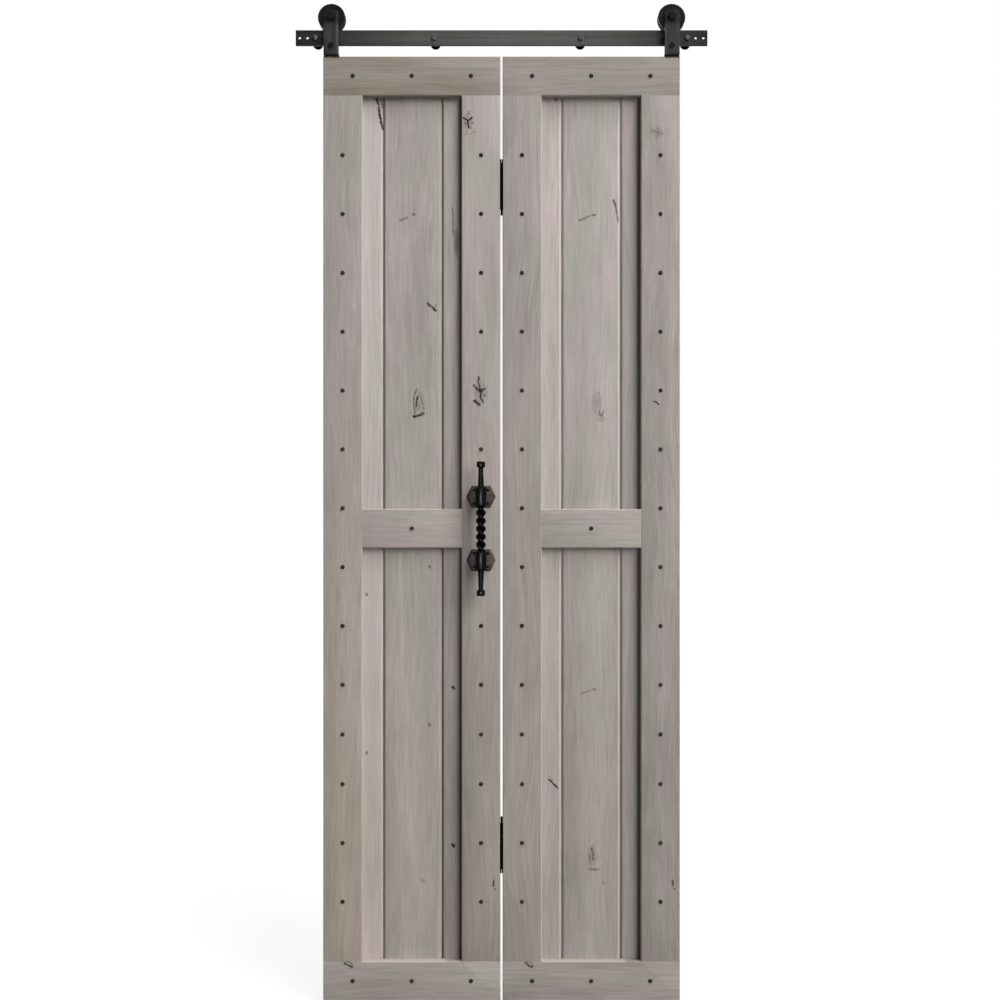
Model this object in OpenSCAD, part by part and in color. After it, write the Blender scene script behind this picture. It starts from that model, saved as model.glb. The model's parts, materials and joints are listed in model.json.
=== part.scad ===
// Bifold barn door: two framed plank leaves, hinged together and hung from a flat wall track.
// The origin is on the wall, on the track's centre line, midway between its outer wall bolts.
// +X runs to the right as seen from the room, +Y goes into the wall and +Z is up.

/* [Leaves] */
// Height of each leaf
leaf_h = 2133.6; // [1900:0.1:2400]
// Width of each leaf
leaf_w = 401; // [360:0.5:450]
// Gap between the closed leaves
leaf_gap = 4.5; // [4:0.1:6]
// Thickness of the frame boards
frame_t = 19; // [17:0.5:24]
// Thickness of the planks behind the frame
plank_t = 19; // [17:0.5:24]
// Width of the stiles
stile_w = 88; // [76:0.5:100]
// Width of the top and bottom rails
end_rail_w = 88; // [76:0.5:110]
// Width of the middle rail
mid_rail_w = 88; // [70:0.5:120]
// Chamfer round a leaf's front face
board_ease = 1.2; // [0.5:0.1:3]
// Chamfer round the openings of a leaf's frame
opening_ease = 1.5; // [1:0.5:8]
// Width and depth of the chamfer on each side of a joint between planks
plank_vee = 5.5; // [3:0.5:7]
// Thickness of the tongue along a plank
tongue_t = 6; // [4:0.5:7]
// Reach of the tongue into the next plank
tongue_l = 8; // [5:0.5:12]

/* [Clavos] */
// Diameter of a nail's domed head
clavo_d = 10; // [8:0.5:14]
// Height of the domed head
clavo_h = 3; // [2:0.1:4]
// Diameter of a nail's shank
clavo_shank_d = 3; // [2:0.1:4]
// Length of a nail's shank
clavo_shank_l = 32; // [24:0.5:33]
// Distance from a leaf's end to the first nail on a stile
clavo_end = 223; // [180:1:240]
// Spacing of the nails along a stile
clavo_pitch = 133; // [110:1:150]

/* [Butt hinges] */
// Height of a hinge
hinge_h = 114.3; // [90:0.1:140]
// Depth that a plate is let into the leaf's edge
hinge_sink = 1.5; // [1.3:0.05:2]
// Distance of a closed hinge's plates from the middle of the gap
hinge_clear = 0.25; // [0.15:0.05:0.5]
// Diameter of the hinge barrel
barrel_d = 12; // [10:0.5:14]
// Diameter of the hinge pin
hinge_pin_d = 6; // [4:0.5:7]
// Height of a pin's button end
pin_button_h = 3; // [2:0.5:5]
// Distance from the leaf's top to the upper hinge
hinge_top = 232; // [150:1:300]
// Distance from the leaf's bottom to the lower hinge
hinge_bottom = 287; // [150:1:320]

/* [Wood screws] */
// Shank diameter of the screws in the hinges and pivot plates
screw_d = 4.5; // [3:0.1:5]
// Diameter of the countersunk head
screw_head_d = 8.5; // [7:0.1:9]
// Length of a hinge screw
hinge_screw_l = 25; // [18:0.5:30]
// Length of a pivot plate screw
plate_screw_l = 30; // [20:0.5:34]

/* [Track] */
// Length of the track beyond each outer edge of the closed leaves
track_overhang = 64.75; // [60:0.25:120]
// Height of the track's flat bar
track_h = 35; // [30:0.5:45]
// Thickness of the track's flat bar
track_t = 6; // [5:0.5:8]
// Chamfer along the track's edges
track_ease = 0.8; // [0.2:0.1:1.5]
// Length of the standoffs that hold the track off the wall
standoff_l = 38; // [34:0.5:50]
// Diameter of the standoffs
standoff_d = 23; // [18:0.5:23.5]
// Distance of each outer wall bolt from the track's end
outer_bolt_inset = 45; // [40:0.5:52]
// Distance of the left inner wall bolt from the middle
left_bolt_x = 152; // [120:1:200]
// Distance of the right inner wall bolt from the middle
right_bolt_x = 181; // [120:1:220]
// Shank diameter of a wall bolt
lag_d = 6.5; // [5:0.1:8]
// Diameter of a wall bolt's threaded end
lag_thread_d = 6; // [4:0.1:8]
// Width across the flats of a wall bolt's head
lag_af = 11; // [9:0.5:14]
// Height of a wall bolt's head
lag_head_h = 4.5; // [3:0.1:6]
// Length of a wall bolt in the wall
lag_bite = 22; // [20:1:80]
// Length of a wall bolt's point
lag_point = 8; // [4:0.5:12]
// Diameter of the spare holes at the track's ends
end_hole_d = 6.5; // [5:0.5:9]
// Distance from the track's end to its last hole
end_hole_inset = 9; // [7:0.5:12]
// Spacing of the two spare holes
end_hole_pitch = 17.5; // [13:0.5:18]

/* [Hangers] */
// Gap between the track and the leaves' top
hanger_gap = 30.5; // [27:0.5:40]
// Distance from a leaf's outer edge to its swivel axis
pivot_inset = 17.5; // [17:0.5:28]
// Width of a hanger strap
strap_w = 34; // [30:0.5:36]
// Thickness of a hanger strap
strap_t = 6; // [5:0.5:7]
// Height of the strap above its axle
strap_rise = 14; // [12:0.5:24]
// Corner cut from the strap's ends
strap_clip = 7; // [3:0.5:9]
// Inner radius of the bend above the foot
strap_bend = 3; // [2:0.5:5]
// Length of the foot behind the swivel axis
foot_tail = 18; // [16:0.5:22]
// Outer diameter of a wheel
wheel_d = 62; // [57:0.5:62.5]
// Diameter of a wheel's tread
tread_d = 52; // [46:0.5:54]
// Thickness of a wheel
wheel_t = 22; // [20:0.5:26]
// Width of a wheel's groove at the tread
groove_w = 8.5; // [8:0.5:10]
// Widening of the groove on each side towards the rim
groove_flare = 1.5; // [0:0.5:3]
// Rounding cut from a wheel's rims
wheel_ease = 1.5; // [0.5:0.5:3]
// Depth of the dish in a wheel's faces
dish_depth = 1.5; // [0.5:0.5:3]
// Width of the rim round the dish
rim_w = 4; // [3:0.5:5]
// Width of the hub round the bearing
hub_w = 4; // [3:0.5:6]
// Gap between a wheel and its strap
strap_gap = 2; // [1:0.5:4]
// Diameter of an axle bolt
axle_d = 10; // [8:0.5:11]
// Width across the flats of an axle bolt's head and nut
axle_af = 17; // [14:0.5:19]
// Height of an axle bolt's head
axle_head_h = 6.5; // [5:0.5:8]
// Height of an axle nut
axle_nut_h = 8; // [6:0.5:9]
// Length of an axle bolt past its nut
axle_tail = 2; // [1:0.5:4]
// Outer diameter of a wheel bearing
bearing_d = 26; // [24:0.5:28]
// Width of a wheel bearing
bearing_w = 8; // [6:0.5:10]
// Outer diameter of an axle spacer
spacer_d = 15; // [13:0.5:18]
// Diameter of the pin that keeps a hanger on the track
jump_pin_d = 8; // [6:0.5:9]
// Diameter of that pin's head
jump_head_d = 12; // [10.5:0.5:14]
// Height of that pin's head
jump_head_h = 3; // [2:0.5:4]
// Width across the flats of that head's socket
jump_socket_af = 5; // [4:0.5:6]
// Depth of that head's socket
jump_socket_h = 2; // [1:0.5:2.5]
// Gap between that pin and the track
jump_gap = 1; // [0.5:0.1:2]

/* [Swivels] */
// Diameter of a swivel bolt
swivel_d = 10; // [8:0.5:11]
// Width across the flats of a swivel bolt's head
swivel_af = 17; // [14:0.5:19]
// Height of a swivel bolt's head
swivel_head_h = 6; // [5:0.5:7]
// Length of a swivel bolt inside the leaf
swivel_l = 45; // [30:1:60]
// Outer diameter of a swivel bush
bush_d = 14; // [13:0.5:16]
// Diameter of a swivel bush's flange
bush_flange_d = 21; // [18:0.5:24]
// Thickness of a swivel bush's flange
bush_flange_t = 1.5; // [1:0.1:2]
// Diameter of a thrust washer
washer_d = 30; // [24:0.5:34]
// Thickness of a thrust washer
washer_t = 1.8; // [1.5:0.1:3]
// Length of a pivot plate
plate_l = 80; // [70:0.5:100]
// Width of a pivot plate
plate_w = 28; // [24:0.5:32]
// Thickness of a pivot plate
plate_t = 4; // [3:0.5:6]
// Distance from the leaf's outer edge to the pivot plate
plate_inset = 5; // [3:0.5:8]

/* [Handle] */
// Distance from the leaf's face to the handle's axis
handle_reach = 38; // [34:0.5:50]
// Length of the twisted grip
grip_l = 100; // [80:1:140]
// Diameter of each of the grip's two strands
strand_d = 11.6; // [9:0.1:13]
// Depth that the two strands merge into each other
strand_merge = 0.8; // [0.4:0.1:2]
// Depth that the grip runs into each collar
grip_root = 3; // [1:0.5:5]
// Width across the flats of the eight-sided collars
collar_w = 25; // [22:0.5:30]
// Length of a collar
collar_l = 43; // [36:0.5:50]
// Chamfer at each end of a collar
collar_ease = 3; // [1:0.5:5]
// Length of a tapered shank
shank_l = 43; // [30:0.5:60]
// Width of a shank at its collar
shank_root_w = 14; // [12:0.5:18]
// Width of a shank at its knob
shank_tip_w = 10; // [8:0.5:12]
// Width of an end knob
knob_w = 19; // [16:0.5:24]
// Length of an end knob
knob_l = 14; // [12:0.5:18]
// Chamfer at each end of a knob
knob_ease = 3.5; // [1:0.5:4]
// Diameter of the posts that carry the bar
post_d = 16; // [14:0.5:20]
// Diameter of the tenon that a post sends through its rosette
tenon_d = 10; // [8:0.5:12]
// Width of a rosette between its side points
rosette_w = 66; // [60:0.5:74]
// Length of a rosette's top and bottom edges
rosette_flat_w = 43; // [38:0.5:48]
// Height of a rosette
rosette_h = 49; // [44:0.5:56]
// Thickness of a rosette
rosette_t = 6; // [4.5:0.5:8]
// Height of the bevel round a rosette
rosette_rise = 3.5; // [2:0.5:4]
// Shank diameter of a rosette screw
rosette_screw_d = 3.5; // [2.5:0.1:4]
// Head diameter of a rosette screw
rosette_head_d = 7; // [5:0.1:8]
// Head height of a rosette screw
rosette_head_h = 2.2; // [1.5:0.1:3]
// Length of a rosette screw under its head
rosette_screw_l = 21; // [14:0.5:21.5]

/* [Hidden] */
$fn = 48;

// Colours
wood = "#968b83";
plank_wood = "#a1968f";
iron = "#2a2a28";
steel = "#45443f";
nylon = "#d9d5c8";

// Clearances, and the overrun of all cuts
fit = 0.05;
bolt_fit = 0.25;
tongue_fit = 0.3;
mortise_fit = 0.2;
run_gap = 0.2;
roll_gap = 0.3;
knuckle_gap = 0.4;
barrel_gap = 0.5;
plate_setback = 0.5;
over = 1;

// Counts and shares
plank_count = 3;
knuckle_count = 5;
clavo_low_count = 2;
grip_turns = 3;
grip_slices = 88;
strand_sides = 18;
collar_sides = 8;
hex_sides = 6;
hex_chamfer_share = 0.25;
hinge_row_shares = [0.1, 0.3, 0.7, 0.9];
hinge_depth_shares = [0.3, 0.62, 0.62, 0.3];
plate_screw_shares = [0.55, 0.88];
pin_button_share = 0.8;
rosette_top_share = 0.8;
rosette_screw_w_share = 0.72;
rosette_screw_h_share = 0.62;

// Depths, measured from the wall
leaf_t = frame_t + plank_t;
track_y = -standoff_l - track_t / 2;
track_front = track_y - track_t / 2;
leaf_front = track_y - leaf_t / 2;
leaf_seam = leaf_front + frame_t;
leaf_back = leaf_front + leaf_t;
hinge_y = leaf_back + barrel_gap + barrel_d / 2;
hinge_plate_y = leaf_front + board_ease + plate_setback;
strap_back = track_y - wheel_t / 2 - strap_gap;
strap_front = strap_back - strap_t;
foot_end = track_y + foot_tail;
bar_y = leaf_front - handle_reach;

// Heights, measured from the track's centre line
leaf_top = -track_h / 2 - hanger_gap;
leaf_bottom = leaf_top - leaf_h;
leaf_mid = leaf_top - leaf_h / 2;
foot_bottom = leaf_top + washer_t + run_gap;
foot_top = foot_bottom + strap_t;
wheel_z = track_h / 2 + roll_gap + tread_d / 2;
strap_top = wheel_z + strap_rise;
jump_z = -track_h / 2 - jump_gap - jump_pin_d / 2;
upper_hinge_z = leaf_top - hinge_top - hinge_h;
lower_hinge_z = leaf_bottom + hinge_bottom;
hinge_zs = [upper_hinge_z, lower_hinge_z];
frame_span = [leaf_bottom + end_rail_w, leaf_top - end_rail_w];
lower_opening = [leaf_bottom + end_rail_w, leaf_mid - mid_rail_w / 2];
upper_opening = [leaf_mid + mid_rail_w / 2, leaf_top - end_rail_w];

// Widths, measured from the middle of the door
leaf_edge = leaf_gap / 2 + leaf_w;
pivot_x = leaf_edge - pivot_inset;
hinge_plate_x = -leaf_gap / 2 - hinge_sink;
hinge_t = -hinge_plate_x - hinge_clear;
handle_x = -leaf_gap / 2 - stile_w / 2;
track_l = 2 * (leaf_edge + track_overhang);
outer_bolt_x = track_l / 2 - outer_bolt_inset;
bolt_xs = [-outer_bolt_x, -left_bolt_x, right_bolt_x, outer_bolt_x];
end_hole_xs = [track_l / 2 - end_hole_inset, track_l / 2 - end_hole_inset - end_hole_pitch];

// Sizes that follow from others
plank_w = leaf_w / plank_count;
tongue_y = (plank_t + plank_vee - tongue_t) / 2;
bend_out = strap_bend + strap_t;
spacer_l = wheel_t / 2 + strap_gap - bearing_w / 2 - run_gap;
axle_nut_y = track_y + bearing_w / 2 + run_gap + spacer_l;
knuckle_pitch = hinge_h / knuckle_count;
screw_head_h = (screw_head_d - screw_d) / 2;
rosette_z = (grip_l + collar_l) / 2;

// Nail places on a leaf, as distance from its outer edge and height
stile_run = leaf_h - 2 * clavo_end;
clavo_full_count = floor(stile_run / clavo_pitch) - 1;
clavo_high = [for (i = [0 : clavo_full_count - clavo_low_count]) leaf_top - clavo_end - i * clavo_pitch];
clavo_low = [for (i = [0 : clavo_low_count]) leaf_bottom + clavo_end + i * clavo_pitch];
clavo_between = (clavo_high[len(clavo_high) - 1] + clavo_low[clavo_low_count]) / 2;
stile_clavo_zs = concat(clavo_high, [clavo_between], clavo_low);
rosette_clear = (rosette_h + clavo_d) / 2;
plank_centres = [for (i = [0 : plank_count - 1]) (i + 1 / 2) * plank_w];

function under_rosette(z) = abs(abs(z - leaf_mid) - rosette_z) < rosette_clear;
function outer_stile_places() = [for (z = stile_clavo_zs) [stile_w / 2, z]];
function inner_stile_places(handled) =
    [for (z = stile_clavo_zs) if (!handled || !under_rosette(z)) [leaf_w - stile_w / 2, z]];
function rail_places(z) = [for (x = plank_centres) [x, z]];
function mid_rail_places() = [[leaf_w / 2, leaf_mid]];
function top_rail_places() = rail_places(leaf_top - end_rail_w / 2);
function bottom_rail_places() = rail_places(leaf_bottom + end_rail_w / 2);
function leaf_places(handled) = concat(
    outer_stile_places(),
    inner_stile_places(handled),
    top_rail_places(),
    mid_rail_places(),
    bottom_rail_places()
);
function plank_places(i, handled) =
    [for (p = leaf_places(handled)) if (floor(p[0] / plank_w) == i) p];

// Repeated shapes

// Places a left-hand piece on its own side, or mirrored on the right
module on_side(right) {
    if (right) mirror([1, 0, 0]) children();
    else children();
}

// Measures from the left leaf's outer edge
module in_leaf() {
    translate([-leaf_edge, 0, 0]) children();
}

// Board with its front face at y = 0 and a chamfer round that face
module eased_board(w, t, h) {
    plan = [
        [board_ease, 0], [w - board_ease, 0], [w, board_ease],
        [w, t], [0, t], [0, board_ease]
    ];
    side = [
        [0, board_ease], [board_ease, 0], [t, 0],
        [t, h], [board_ease, h], [0, h - board_ease]
    ];
    intersection() {
        linear_extrude(h) polygon(plan);
        rotate([90, 0, 90]) linear_extrude(w) polygon(side);
    }
}

// Flared mouth that chamfers the front of a frame opening between two heights
module opening_mouth(span) {
    flare = opening_ease + over;
    low_x = stile_w;
    high_x = leaf_w - stile_w;
    plan = [
        [low_x - flare, -over], [high_x + flare, -over],
        [high_x - over, flare], [low_x + over, flare]
    ];
    side = [
        [-over, span[0] - flare], [flare, span[0] + over],
        [flare, span[1] - over], [-over, span[1] + flare]
    ];
    intersection() {
        translate([0, leaf_front, span[0] - flare])
            linear_extrude(span[1] - span[0] + 2 * flare) polygon(plan);
        translate([low_x - flare, leaf_front, 0]) rotate([90, 0, 90])
            linear_extrude(high_x - low_x + 2 * flare) polygon(side);
    }
}

// Board of a leaf's frame between two widths and two heights, flush with its neighbours
module frame_board(x_span, z_span) {
    difference() {
        intersection() {
            translate([0, leaf_front, leaf_bottom]) eased_board(leaf_w, frame_t, leaf_h);
            translate([x_span[0], leaf_front - over, z_span[0]])
                cube([x_span[1] - x_span[0], frame_t + 2 * over, z_span[1] - z_span[0]]);
        }
        opening_mouth(lower_opening);
        opening_mouth(upper_opening);
    }
}

// Six-sided head or nut with its outer face chamfered, from z = 0 up to that face
module hex_head(af, h) {
    corner_r = af / 2 / cos(180 / hex_sides);
    chamfer = h * hex_chamfer_share;
    intersection() {
        cylinder(r = corner_r, h = h, $fn = hex_sides);
        rotate_extrude() polygon([[0, 0], [corner_r, 0], [corner_r, h - chamfer], [af / 2, h], [0, h]]);
    }
}

// Plain ring along +z
module ring(outer_d, inner_d, h) {
    difference() {
        cylinder(d = outer_d, h = h);
        translate([0, 0, -over]) cylinder(d = inner_d, h = h + 2 * over);
    }
}

// Low dome on a flat base at z = 0, rising along -z
module dome(d, h) {
    ball_r = (d * d / 4 + h * h) / (2 * h);
    intersection() {
        translate([0, 0, ball_r - h]) sphere(ball_r);
        translate([0, 0, -h - over]) cylinder(d = d, h = h + over);
    }
}

// Countersunk screw with its head's face at z = 0, or its hole when grown
module wood_screw(l, grow = 0) {
    head_r = screw_head_d / 2 + grow;
    shank_r = screw_d / 2 + grow;
    tip_z = l - screw_d + grow;
    rotate_extrude() polygon([
        [0, 0], [head_r, 0], [shank_r, screw_head_h], [shank_r, tip_z], [0, l + grow]
    ]);
}

// Nail with its head's flat side at z = 0 and its shank along +z
module clavo() {
    dome(clavo_d, clavo_h);
    translate([0, 0, -clavo_h / 2]) cylinder(d = clavo_shank_d, h = clavo_h / 2 + clavo_shank_l);
}

// Drilled holes for the nails at the given places
module clavo_holes(places) {
    for (p = places)
        translate([p[0], leaf_front - over, p[1]]) rotate([-90, 0, 0])
            cylinder(d = clavo_shank_d + 2 * fit, h = over + clavo_shank_l + fit);
}

// Recesses for both hinge plates in a leaf's inner edge
module hinge_mortises() {
    for (z = hinge_zs)
        translate([leaf_w - hinge_sink, leaf_front - over, z - mortise_fit])
            cube([hinge_sink + over, leaf_t + 2 * over, hinge_h + 2 * mortise_fit]);
}

// Screws of both hinges along one leaf's inner edge, or their holes when grown
module hinge_screw_rows(grow = 0) {
    for (z = hinge_zs, i = [0 : len(hinge_row_shares) - 1])
        translate([
            leaf_w - hinge_sink + hinge_t,
            leaf_front + hinge_depth_shares[i] * leaf_t,
            z + hinge_row_shares[i] * hinge_h
        ])
            rotate([0, -90, 0]) wood_screw(hinge_screw_l, grow);
}

// Screws of the pivot plate, or their holes when grown
module plate_screw_row(grow = 0) {
    for (share = plate_screw_shares)
        translate([plate_inset + share * plate_l, track_y, leaf_top])
            rotate([180, 0, 0]) wood_screw(plate_screw_l, grow);
}

// Recess for the pivot plate, with the holes of its bolt and screws
module pivot_cut() {
    translate([plate_inset - mortise_fit, track_y - plate_w / 2 - mortise_fit, leaf_top - plate_t])
        cube([plate_l + 2 * mortise_fit, plate_w + 2 * mortise_fit, plate_t + over]);
    translate([pivot_inset, track_y, leaf_top - swivel_l - bolt_fit])
        cylinder(d = swivel_d + 2 * bolt_fit, h = swivel_l);
    plate_screw_row(fit);
}

// Places on the handle's rosettes where its screws stand
module at_rosette_screws() {
    for (z = [-rosette_z, rosette_z], sx = [-1, 1], sz = [-1, 1])
        translate([
            handle_x + sx * rosette_screw_w_share * rosette_flat_w / 2,
            leaf_front - rosette_t,
            leaf_mid + z + sz * rosette_screw_h_share * rosette_h / 2
        ])
            rotate([-90, 0, 0]) children();
}

module rosette_screw_holes() {
    at_rosette_screws()
        translate([0, 0, -over])
            cylinder(d = rosette_screw_d + 2 * fit, h = over + rosette_screw_l + fit);
}

// Boards of one leaf, modelled as the left one

module outer_stile() {
    in_leaf() difference() {
        frame_board([-over, stile_w], frame_span);
        clavo_holes(outer_stile_places());
    }
}

module inner_stile(handled) {
    in_leaf() difference() {
        frame_board([leaf_w - stile_w, leaf_w + over], frame_span);
        clavo_holes(inner_stile_places(handled));
        hinge_mortises();
        hinge_screw_rows(fit);
    }
}

module top_rail() {
    in_leaf() difference() {
        frame_board([-over, leaf_w + over], [leaf_top - end_rail_w, leaf_top + over]);
        clavo_holes(top_rail_places());
        pivot_cut();
    }
}

module mid_rail() {
    in_leaf() difference() {
        frame_board([stile_w, leaf_w - stile_w], [lower_opening[1], upper_opening[0]]);
        clavo_holes(mid_rail_places());
    }
}

module bottom_rail() {
    in_leaf() difference() {
        frame_board([-over, leaf_w + over], [leaf_bottom - over, leaf_bottom + end_rail_w]);
        clavo_holes(bottom_rail_places());
    }
}

// Section of plank i, with a groove on its outer side and a tongue on its inner side
module plank_section(i) {
    outer_x = i * plank_w;
    inner_x = outer_x + plank_w;
    tongue_back = tongue_y + tongue_t;
    groove_x = outer_x + tongue_l + tongue_fit;
    plain_side = [[outer_x, plank_t], [outer_x, 0]];
    grooved_side = [
        [outer_x, plank_t], [outer_x, tongue_back + tongue_fit], [groove_x, tongue_back + tongue_fit],
        [groove_x, tongue_y - tongue_fit], [outer_x, tongue_y - tongue_fit],
        [outer_x, plank_vee], [outer_x + plank_vee, 0]
    ];
    square_side = [[inner_x, 0], [inner_x, plank_t]];
    tongued_side = [
        [inner_x - plank_vee, 0], [inner_x, plank_vee], [inner_x, tongue_y],
        [inner_x + tongue_l, tongue_y], [inner_x + tongue_l, tongue_back],
        [inner_x, tongue_back], [inner_x, plank_t]
    ];
    polygon(concat(
        i == 0 ? plain_side : grooved_side,
        i == plank_count - 1 ? square_side : tongued_side
    ));
}

module plank(i, handled) {
    in_leaf() difference() {
        translate([0, leaf_seam, leaf_bottom]) linear_extrude(leaf_h) plank_section(i);
        clavo_holes(plank_places(i, handled));
        if (i == 0) pivot_cut();
        if (i == plank_count - 1) hinge_mortises();
        if (i == plank_count - 1) hinge_screw_rows(fit);
    }
}

module clavos(handled) {
    in_leaf() for (p = leaf_places(handled))
        translate([p[0], leaf_front, p[1]]) rotate([-90, 0, 0]) clavo();
}

// Hanger pieces, modelled as the left ones

module strap() {
    front = [
        [-strap_w / 2, foot_bottom - over], [strap_w / 2, foot_bottom - over],
        [strap_w / 2, strap_top - strap_clip], [strap_w / 2 - strap_clip, strap_top],
        [strap_clip - strap_w / 2, strap_top], [-strap_w / 2, strap_top - strap_clip]
    ];
    plan = [
        [-strap_w / 2, strap_front - over], [strap_w / 2, strap_front - over],
        [strap_w / 2, foot_end - strap_clip], [strap_w / 2 - strap_clip, foot_end],
        [strap_clip - strap_w / 2, foot_end], [-strap_w / 2, foot_end - strap_clip]
    ];
    translate([-pivot_x, 0, 0]) difference() {
        intersection() {
            translate([-strap_w / 2, 0, 0]) rotate([90, 0, 90]) linear_extrude(strap_w) strap_side();
            translate([0, foot_end + over, 0]) rotate([90, 0, 0])
                linear_extrude(foot_end - strap_front + 2 * over) polygon(front);
            translate([0, 0, foot_bottom - over])
                linear_extrude(strap_top - foot_bottom + 2 * over) polygon(plan);
        }
        translate([0, strap_front - over, wheel_z]) rotate([-90, 0, 0])
            cylinder(d = axle_d + 2 * fit, h = strap_t + 2 * over);
        translate([0, strap_front - over, jump_z]) rotate([-90, 0, 0])
            cylinder(d = jump_pin_d + 2 * fit, h = strap_t + 2 * over);
        translate([0, track_y, foot_bottom - over]) cylinder(d = bush_d + 2 * fit, h = strap_t + 2 * over);
    }
}

// Bent section of the strap, as depth and height
module strap_side() {
    translate([strap_front, foot_bottom + bend_out])
        square([strap_t, strap_top - foot_bottom - bend_out]);
    translate([strap_front + bend_out, foot_bottom])
        square([foot_end - strap_front - bend_out, strap_t]);
    translate([strap_front + bend_out, foot_bottom + bend_out]) intersection() {
        difference() {
            circle(bend_out);
            circle(strap_bend);
        }
        translate([-bend_out, -bend_out]) square(bend_out);
    }
}

module axle_bolt() {
    translate([-pivot_x, strap_front, wheel_z]) {
        rotate([90, 0, 0]) hex_head(axle_af, axle_head_h);
        rotate([-90, 0, 0]) cylinder(d = axle_d, h = axle_nut_y + axle_nut_h + axle_tail - strap_front);
    }
}

module axle_nut() {
    translate([-pivot_x, axle_nut_y, wheel_z]) rotate([-90, 0, 0]) difference() {
        hex_head(axle_af, axle_nut_h);
        translate([0, 0, -over]) cylinder(d = axle_d + 2 * fit, h = axle_nut_h + 2 * over);
    }
}

module axle_spacers() {
    for (y = [strap_back, axle_nut_y - spacer_l])
        translate([-pivot_x, y, wheel_z]) rotate([-90, 0, 0]) ring(spacer_d, axle_d + 2 * fit, spacer_l);
}

module jump_pin() {
    pin_l = track_y + track_t - strap_front;
    translate([-pivot_x, strap_front, jump_z]) difference() {
        union() {
            rotate([90, 0, 0]) cylinder(d = jump_head_d, h = jump_head_h);
            rotate([-90, 0, 0]) cylinder(d = jump_pin_d, h = pin_l);
        }
        translate([0, jump_socket_h - jump_head_h, 0]) rotate([90, 0, 0])
            cylinder(d = jump_socket_af / cos(180 / hex_sides), h = jump_socket_h + over, $fn = hex_sides);
    }
}

module swivel_bush() {
    translate([-pivot_x, track_y, foot_bottom]) difference() {
        union() {
            cylinder(d = bush_d, h = strap_t + bush_flange_t);
            translate([0, 0, strap_t]) cylinder(d = bush_flange_d, h = bush_flange_t);
        }
        translate([0, 0, -over])
            cylinder(d = swivel_d + 2 * fit, h = strap_t + bush_flange_t + 2 * over);
    }
}

// Wheel with a groove for the track, a dish in each face and a seat for the bearing
module wheel() {
    wheel_r = wheel_d / 2;
    hub_r = bearing_d / 2 + hub_w;
    rim_r = wheel_r - rim_w;
    face = wheel_t / 2;
    dish = face - dish_depth;
    flare = groove_w / 2 + groove_flare;
    half_section = [
        [bearing_d / 2, face], [hub_r, face], [hub_r, dish], [rim_r, dish], [rim_r, face],
        [wheel_r - wheel_ease, face], [wheel_r, face - wheel_ease], [wheel_r, flare],
        [tread_d / 2, groove_w / 2]
    ];
    last = len(half_section) - 1;
    other_half = [for (i = [last : -1 : 0]) [half_section[i][0], -half_section[i][1]]];
    translate([-pivot_x, track_y, wheel_z]) rotate([-90, 0, 0])
        rotate_extrude() polygon(concat(half_section, other_half));
}

module bearing() {
    translate([-pivot_x, track_y - bearing_w / 2, wheel_z]) rotate([-90, 0, 0])
        ring(bearing_d, axle_d + 2 * fit, bearing_w);
}

// Swivel pieces on a leaf, modelled as the left ones

module pivot_plate() {
    in_leaf() difference() {
        translate([plate_inset, track_y - plate_w / 2, leaf_top - plate_t])
            cube([plate_l, plate_w, plate_t]);
        translate([pivot_inset, track_y, leaf_top - plate_t - over])
            cylinder(d = swivel_d + 2 * fit, h = plate_t + 2 * over);
        plate_screw_row(fit);
    }
}

module plate_screws() {
    in_leaf() plate_screw_row();
}

module swivel_bolt() {
    head_z = foot_top + bush_flange_t + run_gap;
    translate([-pivot_x, track_y, 0]) {
        translate([0, 0, head_z]) hex_head(swivel_af, swivel_head_h);
        translate([0, 0, leaf_top - swivel_l]) cylinder(d = swivel_d, h = head_z - leaf_top + swivel_l);
    }
}

module thrust_washer() {
    translate([-pivot_x, track_y, leaf_top]) ring(washer_d, swivel_d + 2 * fit, washer_t);
}

// Hinge pieces, modelled as the left plate at height z

module hinge_plate(z, knuckles) {
    difference() {
        union() {
            translate([hinge_plate_x, hinge_plate_y, z])
                cube([hinge_t, leaf_back - hinge_plate_y, hinge_h]);
            for (k = knuckles)
                translate([0, 0, z + k * knuckle_pitch + knuckle_gap / 2]) {
                    translate([hinge_plate_x, hinge_plate_y, 0])
                        cube([hinge_t, hinge_y - hinge_plate_y, knuckle_pitch - knuckle_gap]);
                    translate([0, hinge_y, 0]) cylinder(d = barrel_d, h = knuckle_pitch - knuckle_gap);
                }
        }
        translate([0, hinge_y, z - over]) cylinder(d = hinge_pin_d + 2 * fit, h = hinge_h + 2 * over);
        in_leaf() hinge_screw_rows(fit);
    }
}

module hinge_left_plate(z) {
    hinge_plate(z, [for (k = [0 : 2 : knuckle_count - 1]) k]);
}

module hinge_right_plate(z) {
    on_side(true) hinge_plate(z, [for (k = [1 : 2 : knuckle_count - 1]) k]);
}

module hinge_pin(z) {
    button_r = pin_button_share * barrel_d / 2;
    button = [
        [0, 0], [button_r, 0], [button_r, pin_button_h / 2], [button_r / 2, pin_button_h], [0, pin_button_h]
    ];
    translate([0, hinge_y, z]) {
        cylinder(d = hinge_pin_d, h = hinge_h);
        translate([0, 0, hinge_h]) rotate_extrude() polygon(button);
        mirror([0, 0, 1]) rotate_extrude() polygon(button);
    }
}

// Track pieces

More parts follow.
